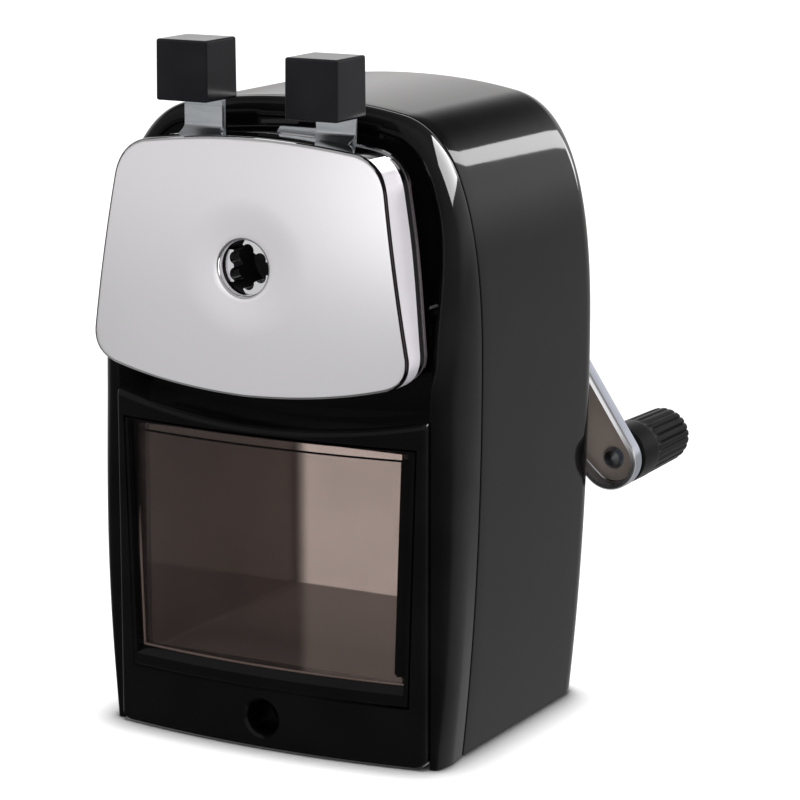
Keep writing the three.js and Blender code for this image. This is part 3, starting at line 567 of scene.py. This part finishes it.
def rounded_box(half_x, y0, y1, radius, z, count=8):
    """A rectangle with rounded corners at height z."""
    corners = [(half_x, y1, 0), (-half_x, y1, 90), (-half_x, y0, 180), (half_x, y0, 270)]
    ring = []
    for x, y, start in corners:
        cx, cy = x - math.copysign(radius, x), y - (radius if y == y1 else -radius)
        for i in range(count + 1):
            a = math.radians(start + 90 * i / count)
            ring.append((cx + radius * math.cos(a), cy + radius * math.sin(a), z))
    return ring


def drawer_tray():
    """The tray's walls and floor, rounded inside and out, and open where the window closes it."""
    y0, y1 = PANEL_Y + 1.2, TRAY_REAR_Y
    half, rear = TRAY_HALF - TRAY_WALL, y1 - TRAY_WALL
    floor_z = DRAWER_LOW_Z + 2.3
    outside = [(0.8, 1.4, DRAWER_LOW_Z + 0.3), (0.2, 1.8, DRAWER_LOW_Z + 0.6),
               (0.0, 2.0, DRAWER_LOW_Z + 1.2), (0.0, 2.0, TRAY_HIGH_Z - 0.3),
               (0.3, 1.9, TRAY_HIGH_Z)]
    inside = [(0.0, 1.6, TRAY_HIGH_Z - 0.3), (0.0, 1.6, floor_z + 0.8),
              (0.25, 1.4, floor_z + 0.2), (0.8, 1.0, floor_z)]
    rings = [rounded_box(TRAY_HALF - d, y0, y1 - d, radius, z) for d, radius, z in outside]
    rings.append(rounded_box(half + 0.3, y0 + 0.4, rear, 1.6, TRAY_HIGH_Z))
    rings += [rounded_box(half - d, y0 + 0.4, rear - d, radius, z) for d, radius, z in inside]
    tray = loft("drawer_tray", rings)
    cut(tray, box("mouth", -half, half, AHEAD, y0 + 2.4, floor_z, 100))
    finish_piece(tray, TRAY, "drawer_body", "smoked_clear", "drawer")


def bowed_ring(margin, setback=0.0, y=None, inner=PANE_EDGE, across=36, up=10):
    """A ring round the drawer's front, inset by a margin, that follows the bow or stays flat."""
    low, high, bottom, top = (a + (b - a) * margin for a, b in zip(DRAWER_EDGE, inner))
    corners = [Vector(c) for c in ((-bottom, low), (bottom, low), (top, high), (-top, high))]
    ring = []
    for k, count in enumerate((across, up, across, up)):
        for i in range(count):
            p = corners[k].lerp(corners[(k + 1) % 4], i / count)
            ring.append((p.x, panel_y(p.x) + setback if y is None else y, p.y))
    return ring


def drawer_border():
    """The black border: its front follows the bow, and a lip behind the pane meets the tray."""
    back = PANEL_Y + 2.6
    profile = [(0.0, 0.35), (0.04, 0.1), (0.1, 0.0), (0.62, 0.0), (0.66, 0.05), (0.92, 0.9),
               (1.0, 1.3), (1.0, 2.15)]
    border = tube("drawer_border", [
        bowed_ring(0.0, y=back),
        *[bowed_ring(margin, setback) for margin, setback in profile],
        bowed_ring(1.0, 2.15, inner=LIP_EDGE),
        bowed_ring(1.0, y=back, inner=LIP_EDGE),
    ])
    finish_piece(border, GLOSS, "drawer_body", "gloss_black", "drawer", sharp=24)


def drawer_window():
    """A bowed pane with a bevel round its edge, set back in the border."""
    low, high, bottom, top = PANE_EDGE
    edge_line, bevel_width, crease, bevel_fall, setback, thick = 0.3, 1.6, 0.4, 0.4, 1.4, 0.7
    steps = 28

    def bands(length):
        """Positions from 0 to 1 that put grid lines on the edge, the bevel and its crease."""
        edge = [e / length for e in (0.0, edge_line, bevel_width, bevel_width + crease)]
        middle = [edge[-1] + (1 - 2 * edge[-1]) * i / steps for i in range(1, steps)]
        return edge + middle + [1 - e for e in reversed(edge)]

    across, up = bands(2 * bottom), bands(high - low)
    points, faces = [], []
    for layer in ("front", "back"):
        for v in up:
            z = low + (high - low) * v
            half = bottom + (top - bottom) * v - 0.02
            for u in across:
                x = -half + 2 * half * u
                depth = min(half * (1 - abs(2 * u - 1)), (high - low) * min(v, 1 - v))
                fall = bevel_fall * max(0.0, 1 - depth / bevel_width)
                front = panel_y(x) + setback
                points.append((x, front + fall if layer == "front" else front + thick, z))
    row, total = len(across), len(across) * len(up)
    for layer in (0, 1):
        for j in range(len(up) - 1):
            for i in range(row - 1):
                a = layer * total + j * row + i
                faces.append((a, a + 1, a + row + 1, a + row))
    rim = (
        list(range(row))
        + [j * row + row - 1 for j in range(1, len(up))]
        + [(len(up) - 1) * row + i for i in range(row - 2, -1, -1)]
        + [j * row for j in range(len(up) - 2, 0, -1)]
    )
    for a, b in zip(rim, rim[1:] + rim[:1]):
        faces.append((a, b, b + total, a + total))
    window = mesh_object("drawer_window", points, faces)
    finish_piece(window, WINDOW, "drawer_body", "smoked_clear", "drawer", sharp=8)

    def depths(centre):
        """How far a face lies in from the nearer side, the bottom and the top."""
        half = bottom + (top - bottom) * (centre.z - low) / (high - low)
        return half - abs(centre.x), centre.z - low, high - centre.z

    # The pane's edges at the sides and the bottom, painted lighter as a highlight
    def on_edge_highlight(centre, normal):
        return min(depths(centre)[:2]) < edge_line

    # The top bevel, painted lighter as a highlight
    def on_top_bevel_highlight(centre, normal):
        side, _, above = depths(centre)
        return normal.y < -0.5 and above < bevel_width and above < side

    def on_painted_shade_line(centre, normal):
        """Painted shade in gloss black: the bevel's crease along the top, and the whole bevel on
        the right.
        """
        side, below, above = depths(centre)
        along_top = bevel_width < above < bevel_width + crease and side > bevel_width
        on_right = (centre.x > 0 and edge_line < side < bevel_width + crease
                    and side < min(below, above))
        return normal.y < -0.5 and (along_top or on_right)

    repaint(window, EDGE_HIGHLIGHT, on_edge_highlight)
    repaint(window, BEVEL, on_top_bevel_highlight)
    repaint(window, GLOSS, on_painted_shade_line)


drawer_tray()
drawer_border()
drawer_window()

# Faceplate

HALF_PLATE = (
    bezier([(0, 67.3), (16, 67.6), (28.2, 70.9)], 24)
    + bezier([(28.2, 70.9), (33.1, 72.3), (32.7, 77)], 14)
    + bezier([(32.7, 77), (28.2, 105.4)], 22)
    + bezier([(28.2, 105.4), (27.3, 111.1), (22, 112.4)], 14)
    + bezier([(22, 112.4), (10, 114.1), (0, 114.1)], 22)
    + [Vector((0, 114.1))]
)
PLATE_OUTLINE = HALF_PLATE + [Vector((-p.x, p.y)) for p in reversed(HALF_PLATE[1:-1])]
PLATE_INWARDS = inwards(PLATE_OUTLINE, True)
CENTRE = Vector((0, AXIS_Z))


def plate_y(x, z):
    """The plate's face: it leans back a little, crowns in the middle and dishes at the hole."""
    lean = 0.9 * (z - 75.6) / 30
    reach = Vector((x / 30.0, (z - AXIS_Z) / 23.0)).length
    crown = PLATE_CROWN * (1 - reach * reach)
    radius = math.hypot(x, z - AXIS_Z)
    dish = 0.5 * (1 - smooth(PENCIL_HOLE_R - 3, PENCIL_HOLE_R + 8, radius))
    return max(PLATE_FRONT_Y + lean - crown + dish, cad_low.y / MM)


def plate_back(z):
    """Rear edge of the plate's side, which is deeper towards the top."""
    return PLATE_BACK_Y + 3.3 * smooth(66, 100, z)


def faceplate():
    """The shell: from the hole's wall over the face, edge and lip, and back along its inside."""
    face_steps, inside_steps, hole_round, edge_round = 40, 8, 0.6, 0.65
    spokes = [((p - CENTRE).normalized(), p, n) for p, n in zip(PLATE_OUTLINE, PLATE_INWARDS)]

    def wall_ring(radius, y):
        """A ring round the pencil hole."""
        return [(p.x, y, p.y) for p in [CENTRE + away * radius for away, _, _ in spokes]]

    def face_ring(radius, inset, share, drop=0.0):
        """A ring on the face, a share of the way from round the hole to the inset outline."""
        ring = []
        for away, p, inward in spokes:
            q = (CENTRE + away * radius).lerp(p + inward * inset, share)
            ring.append((q.x, plate_y(q.x, q.y) + drop, q.y))
        return ring

    def side_ring(inset, y_at):
        """A ring along the side, at the depth that a function gives for each height."""
        ring = [p + inward * inset for _, p, inward in spokes]
        return [(p.x, y_at(p.y), p.y) for p in ring]

    rings = [wall_ring(PENCIL_HOLE_R, y) for y in (HOLE_REAR_Y, HOLE_PAINTED_SHADE_Y)]
    rings += [
        face_ring(PENCIL_HOLE_R + hole_round * c, 0.0, 0.0, hole_round * (1 - s))
        for c, s in quarter(4)
    ]
    rings += [
        face_ring(PENCIL_HOLE_R + hole_round, edge_round, (i / face_steps) ** 0.9)
        for i in range(1, face_steps + 1)
    ]
    rings += [
        face_ring(PENCIL_HOLE_R, edge_round * (1 - s), 1.0, edge_round * c)
        for c, s in quarter(7)[1:]
    ]
    # The side, a groove and the thin lip behind it, as (inset, distance ahead of the rear edge)
    for inset, ahead in ((0.06, 3.3), (0.1, 3.1), (0.6, 2.9), (0.6, 0.62), (0.4, 0.6), (0.2, 0.4),
                         (0.15, 0.12), (0.3, 0.0), (0.3 + PLATE_SHEET, 0.0)):
        rings.append(side_ring(inset, lambda z, ahead=ahead: plate_back(z) - ahead))
    # The inside, back to the hole
    rings.append(side_ring(0.5 + PLATE_SHEET, lambda z: PLATE_FRONT_Y + 3.4))
    rings.append(face_ring(PENCIL_HOLE_R, 1.6 + PLATE_SHEET, 1.0, PLATE_SHEET + 0.4))
    rings += [
        face_ring(PENCIL_HOLE_R + 1.3, 2.2 + PLATE_SHEET, i / inside_steps, PLATE_SHEET + 0.3)
        for i in range(inside_steps, -1, -1)
    ]
    rings.append(wall_ring(PENCIL_HOLE_R + 1.3, HOLE_REAR_Y))
    plate = tube("faceplate_shell", rings)
    finish_piece(plate, CHROME, "carriage", "chrome", "faceplate", sharp=28)

    def on_face(centre, normal):
        return normal.y < -0.93

    def on_side_painted_shade(centre, normal):
        """The side faces left and right, and the hole's wall, painted a darker, duller chrome as
        painted shade.
        """
        beside = abs(normal.x) > 0.5 and abs(normal.y) < 0.1
        in_hole = (centre.xz - CENTRE).length < PENCIL_HOLE_R + hole_round and normal.y > -0.5
        return beside and centre.y < plate_back(centre.z) - 3 or in_hole

    def in_painted_shade(centre, normal):
        """Painted shade in the deep part of the hole's wall and, left and right, in the groove,
        and a painted dark reflection on the rolled edge.
        """
        radius = (centre.xz - CENTRE).length
        deep = radius < PENCIL_HOLE_R + 0.1 and centre.y > HOLE_PAINTED_SHADE_Y
        groove = abs(normal.x) > 0.5 and 0.44 < plate_back(centre.z) - centre.y < 2.95
        rolled = -0.93 <= normal.y < -0.12 and abs(normal.x) > 0.3 and radius > 12
        return deep or groove or rolled

    repaint(plate, PLATE, on_face)
    repaint(plate, SIDE_PAINTED_SHADE, on_side_painted_shade)
    repaint(plate, PAINTED_SHADE, in_painted_shade)


faceplate()

# Levers and their caps


def lever_cap(word, body):
    """A square cap with softened edges and a slot below for the lever's strip."""
    wider, draft, lean, edge, half_slot = 0.15, 0.05, 0.1, 0.45, 4.35
    low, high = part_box(f"lever_cap_{word}")
    x0, x1 = low.x / MM - wider, high.x / MM + wider
    y0, y1, z0, z1 = low.y / MM, high.y / MM, low.z / MM, high.z / MM
    bottom = [(x0, y0, z0), (x1, y0, z0), (x1, y1, z0), (x0, y1, z0)]
    top = [(x0 + draft, y0 + lean, z1), (x1 - draft, y0 + lean, z1),
           (x1 - draft, y1 - lean, z1), (x0 + draft, y1 - lean, z1)]
    cap = bevel(loft(f"grip_cap_{word}", [bottom, top]), edge, 4)
    strip_low, strip_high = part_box(f"lever_{word}")
    middle = (x0 + x1) / 2
    cut(cap, box("slot", middle - half_slot, middle + half_slot, strip_low.y / MM - GAP,
                 strip_high.y / MM + GAP, z0 - 5, strip_high.z / MM + 0.4))
    finish_piece(cap, CAP, body, "gloss_black", f"lever_cap_{word}", sharp=30)


def lever_bend(word, body):
    """The strip's joggle: below the cap it steps forward and widens a little to the left."""
    top_z, height, steps, half, sheet = 118.4, 7.4, 24, 4.0, 0.7
    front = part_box(f"lever_{word}")[0].y / MM
    middle = (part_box(f"lever_cap_{word}")[0].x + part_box(f"lever_cap_{word}")[1].x) / 2 / MM
    rings = []
    for i in range(steps + 1):
        t = i / steps
        z = top_z - height * t
        y = front - 1.2 * smooth(0.5, 0.8, t)
        left = middle - half - 1.2 * smooth(0.52, 0.9, t)
        right = middle + half - 0.8 * smooth(0.55, 0.75, t)
        rings.append([(left, y - 0.02, z), (right, y - 0.02, z),
                      (right, y + sheet, z), (left, y + sheet, z)])
    bend = bevel(loft(f"lever_bend_{word}", rings), 0.12, 2, 60)
    finish_piece(bend, ZINC, body, "zinc_steel", sharp=50)


def steel_nodes(*names, width=0.12):
    """CAD pieces whose shape is right get softened edges."""
    for name in names:
        step = nodes[name].modifiers.new("edges", "BEVEL")
        step.width = width * MM
        step.segments = 2
        step.limit_method = "ANGLE"
        step.angle_limit = math.radians(50)


for word in ("left", "right"):
    lever_cap(word, f"{word}_lever")
    lever_bend(word, f"{word}_lever")
steel_nodes("lever_left", "lever_right", "carriage_plate")
steel_nodes("jaw_1", "jaw_2", "jaw_3", width=0.08)

# Crank arm and knob


def teardrop(hub_r, tip_r, y, count=40):
    """The arm's outline: two arcs joined by their common tangents."""
    lean = math.asin((hub_r - tip_r) / ARM_LENGTH)
    down = -math.pi / 2 + ARM_ANGLE
    ring = []
    for cx, cz, radius, start, turn in (
        (0, AXIS_Z, hub_r, down + math.pi / 2 - lean, math.pi + 2 * lean),
        (KNOB_X, KNOB_Z, tip_r, down - math.pi / 2 + lean, math.pi - 2 * lean),
    ):
        for i in range(count + 1):
            a = start + turn * i / count
            ring.append((cx + radius * math.cos(a), y, cz + radius * math.sin(a)))
    return ring


def crank_arm():
    """The pressed arm: a channel that is open towards the body, with two holes in its web."""
    corner, bore_r = 1.3, 3.3
    outer = [(ARM_FRONT_Y, 0.3), (ARM_FRONT_Y + 0.12, 0.12), (ARM_FRONT_Y + 0.35, 0.0)]
    outer += [(ARM_REAR_Y - corner + corner * s, corner * c) for c, s in quarter(6)]
    inner_y, small = ARM_REAR_Y - ARM_SHEET, 0.5
    inner = [(ARM_FRONT_Y - 1, ARM_SHEET), (ARM_FRONT_Y + 0.5, ARM_SHEET)]
    inner += [(inner_y - small + small * s, ARM_SHEET + small * c) for c, s in quarter(4)]
    body = loft("crank_arm_pressing", [
        teardrop(ARM_HUB_R - d, ARM_TIP_R - d, y) for y, d in outer
    ])
    hollow = loft("hollow", [teardrop(ARM_HUB_R - d, ARM_TIP_R - d, y) for y, d in inner])
    rivet_hole = turned("rivet_hole", [(RIVET_HOLE_R, 20), (RIVET_HOLE_R, 60)],
                        KNOB_X, KNOB_Z, 32)
    arm = cut(body, hollow, turned("bore", [(bore_r, 20), (bore_r, 60)]), rivet_hole)
    finish_piece(arm, CHROME, "crank", "chrome", "crank_arm")
    # The flange's sides get the darker chrome, a painted reflection
    repaint(arm, FLANGE_PAINTED_REFLECTION, lambda centre, normal: abs(normal.y) < 0.35)
    repaint(arm, WEB, lambda centre, normal: normal.y < -0.9 and centre.y > inner_y - 0.1)


def knob():
    """A smooth collar, then a barrel with narrow grooves that run out in a rounded end."""
    grooves, per_groove, groove_deep, taper, end_r = 22, 10, 0.36, 0.25, 2.7
    count = grooves * per_groove
    barrel, barrel_y, end_y = KNOB_R - 0.1, 47.4, KNOB_REAR_Y - end_r
    # Each station is a radius, a depth along Y and how deep the grooves are there, up to 1.
    stations = [
        (RIVET_HOLE_R, 38.3, 0), (KNOB_R - 0.5, 38.3, 0), (KNOB_R - 0.1, 38.6, 0),
        (KNOB_R, 39.2, 0), (KNOB_R, 44.9, 0), (KNOB_R - 0.1, 45.4, 0), (barrel, 45.9, 0.1),
        (barrel, 46.6, 0.7), (barrel, barrel_y, 1.0),
    ]
    stations += [
        (barrel - taper * i / 8, barrel_y + (end_y - barrel_y) * i / 8, 1.0) for i in range(1, 9)
    ]
    stations += [
        (barrel - taper - end_r * c, end_y + end_r * s, (1 - s) ** 0.5) for c, s in quarter(8)[1:]
    ]
    stations += [(1.6, KNOB_REAR_Y, 0), (0.02, KNOB_REAR_Y, 0)]
    rings = []
    for radius, y, depth in stations:
        ring = []
        for i in range(count):
            a = 2 * math.pi * i / count
            groove = (0.5 + 0.5 * math.cos(grooves * a)) ** 4  # narrow grooves, broad ribs
            r = radius - groove_deep * depth * groove
            ring.append((KNOB_X + r * math.cos(a), y, KNOB_Z + r * math.sin(a)))
        rings.append(ring)
    grip = loft("knob_grip", rings)
    cut(grip, turned("rivet_hole", [(RIVET_HOLE_R, 30), (RIVET_HOLE_R, 56)], KNOB_X, KNOB_Z, 32))
    finish_piece(grip, KNOB, "knob_body", "matte_black", "knob", sharp=45)


crank_arm()
knob()

# Return springs: fine coils round the guide rods. On the real sharpener they shorten along Y as
# the faceplate comes out.


def return_spring(word, side):
    """A fine coil round a guide rod. It stands for the coarse coil of the frame."""
    turns, radius, wire_r, sides = 9, 2.4, 0.35, 10
    low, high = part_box(f"return_spring_{word}")
    y0, y1 = low.y / MM + wire_r, high.y / MM - wire_r
    steps = turns * 28
    rings = []
    for i in range(steps + 1):
        t = i / steps
        a = 2 * math.pi * turns * t
        centre = Vector((side * ROD[0] + radius * math.cos(a), y0 + (y1 - y0) * t,
                         ROD[1] + radius * math.sin(a)))
        outward = Vector((math.cos(a), 0, math.sin(a)))
        ring = []
        for k in range(sides):
            b = 2 * math.pi * k / sides
            p = centre + outward * wire_r * math.cos(b) + Vector((0, wire_r * math.sin(b), 0))
            ring.append(tuple(p))
        rings.append(ring)
    coil = loft(f"spring_coil_{word}", rings)
    finish_piece(coil, WIRE, "root", "spring_wire", f"return_spring_{word}", sharp=60)
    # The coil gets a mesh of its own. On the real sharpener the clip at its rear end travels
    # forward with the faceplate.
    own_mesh(coil)


return_spring("left", -1)
return_spring("right", 1)

# Floor, backdrop and light

corners = [(-1, -1), (1, -1), (1, 1), (-1, 1)]
floor = mesh_object("floor", [(x * FAR_FLOOR, y * FAR_FLOOR, 0) for x, y in corners],
                    [(0, 1, 2, 3)])
FLOOR = material("floor_pale", (0.86, 0.86, 0.87), (0.88, 0.88, 0.885), (0.6, 0.7), colour_scale=4)
floor.data.materials.append(FLOOR)
floor.visible_glossy = False

world = bpy.data.worlds.new("studio")
bpy.context.scene.world = world
world.use_nodes = True
tree = world.node_tree
place = tree.nodes.new("ShaderNodeTexCoord")
split = tree.nodes.new("ShaderNodeSeparateXYZ")
tree.links.new(place.outputs["Generated"], split.inputs["Vector"])


def world_ramp(source, start, end, low, high):
    """A smooth step of a direction's component, or between two strengths."""
    node = tree.nodes.new("ShaderNodeMapRange")
    node.interpolation_type = "SMOOTHSTEP"
    node.inputs["From Min"].default_value = start
    node.inputs["From Max"].default_value = end
    node.inputs["To Min"].default_value = low
    node.inputs["To Max"].default_value = high
    tree.links.new(source, node.inputs["Value"])
    return node.outputs["Result"]


# The room is bright behind, and dim overhead and low down in front.
FRONT_LOW, FRONT_HIGH, BACK_LOW, BACK_HIGH, CEILING = 0.10, 0.36, 0.46, 0.95, 0.06
front_room = world_ramp(split.outputs["Z"], -0.20, 0.10, FRONT_LOW, FRONT_HIGH)
wall_room = world_ramp(split.outputs["Z"], -0.05, 0.15, BACK_LOW, BACK_HIGH)
ceiling = world_ramp(split.outputs["Z"], 0.27, 0.50, 1.0, CEILING)
shade = tree.nodes.new("ShaderNodeMath")
shade.operation = "MULTIPLY"
tree.links.new(wall_room, shade.inputs[0])
tree.links.new(ceiling, shade.inputs[1])
back_room = shade.outputs["Value"]
blend = tree.nodes.new("ShaderNodeMix")
blend.data_type = "FLOAT"
tree.links.new(world_ramp(split.outputs["Y"], -0.35, 0.35, 0, 1), blend.inputs["Factor"])
tree.links.new(front_room, blend.inputs["A"])
tree.links.new(back_room, blend.inputs["B"])
background = tree.nodes["Background"]
tree.links.new(blend.outputs["Result"], background.inputs["Strength"])
background.inputs["Color"].default_value = (1.0, 0.985, 0.98, 1)
bpy.context.scene.view_settings.view_transform = "Standard"


def collection(name, pieces):
    """A collection that names the pieces a light reaches or that shade it."""
    made = bpy.data.collections.new(name)
    for piece in pieces:
        made.objects.link(piece)
    return made


def softbox(name, place_mm, target_mm, size_mm, watts, *, mirrored=True, only=(), shading=(),
            skipped=(), roll=0.0):
    """A rectangular light. It can be kept out of reflections, or light only a few pieces."""
    light = bpy.data.lights.new(name, "AREA")
    light.shape = "RECTANGLE"
    light.size, light.size_y = size_mm[0] * MM, size_mm[1] * MM
    light.energy = watts
    made = bpy.data.objects.new(name, light)
    bpy.context.scene.collection.objects.link(made)
    made.location = Vector(place_mm) * MM
    made.rotation_mode = "QUATERNION"
    aim = (Vector(target_mm) - Vector(place_mm)).normalized()
    turn = Quaternion((0, 0, 1), math.radians(roll))
    made.rotation_quaternion = aim.to_track_quat("-Z", "Y") @ turn
    made.visible_glossy = mirrored
    if only:
        made.light_linking.receiver_collection = collection(name + "_pieces", only)
        blockers = collection(name + "_blockers", (*only, *shading))
        made.light_linking.blocker_collection = blockers
    if skipped:
        unlit = collection(name + "_skips", skipped)
        for entry in unlit.collection_objects:
            entry.light_linking.link_state = "EXCLUDE"
        made.light_linking.receiver_collection = unlit


def objects(*names):
    return [bpy.data.objects[name] for name in names]


steel = ("jaw_1", "jaw_2", "jaw_3", "lever_left", "lever_right", "carriage_plate")
plated = objects("faceplate_shell", "lever_bend_left", "lever_bend_right")
plated += [nodes[name] for name in steel]
arm_only = objects("crank_arm_pressing")

# Soft light on the whole, on the tray and on the faceplate's side
softbox("overhead", (-60, 60, 900), (0, 0, 0), (1300, 1300), 22.0, mirrored=False,
        skipped=[floor])
softbox("tray_front", (-44, -900, 62), (0, 28, 36), (40, 40), 38.0, mirrored=False,
        only=objects("drawer_tray"), shading=objects("drawer_border"))
softbox("side_fill", (420, -600, 110), (30, -33, 90), (200, 200), 3.0, mirrored=False,
        only=plated)

# Reflectors that show in the chrome
softbox("plate_front", (-328, -637, -42), (0, -37, 90), (640, 640), 0.66, only=plated)
softbox("plate_corner", (-110, -725, 140), (0, -37, 100), (300, 260), 0.16, only=plated)
softbox("plate_edge", (361, 569, 18), (32, -33, 88), (300, 420), 0.12, only=plated)
softbox("plate_glint", (67, 482, 415), (25, -33, 110), (260, 160), 0.5, only=plated)
softbox("plate_top", (-247, 23, 550), (-13, -30, 114), (220, 220), 0.12, only=plated)
softbox("lip_line", (510, -330, 30), (30, -27, 90), (200, 500), 1.0, only=plated)
softbox("arm_rim", (-251, -480, 36), (28, 34, 60), (240, 240), 0.16, only=arm_only)

# Reflectors that show in the gloss black of the shoulder and the rim
softbox("shoulder_band", (237, 540, 292), (32, 8, 109), (400, 70), 0.58, roll=-63,
        only=objects("front_housing_skin", "rear_shell_skin"))
softbox("rim_blob", (440, 165, 430), (31.5, -22, 109), (800, 330), 17.0, only=[housing])

# A high sun from a little behind gives the floor the body's short soft shadow.
sun = bpy.data.objects.new("floor_sun", bpy.data.lights.new("floor_sun", "SUN"))
bpy.context.scene.collection.objects.link(sun)
sun.data.energy, sun.data.angle = 4.3, math.radians(10.5)
sun.rotation_mode = "QUATERNION"
sun.rotation_quaternion = Vector((0.0, -0.05, -1)).to_track_quat("-Z", "Y")
sun.visible_glossy = False
sun.light_linking.receiver_collection = collection("floor_sun_pieces", [floor])
sun.light_linking.blocker_collection = collection("floor_sun_blockers", objects(
    "rear_shell_skin", "front_housing_skin", "drawer_border", "drawer_tray"))
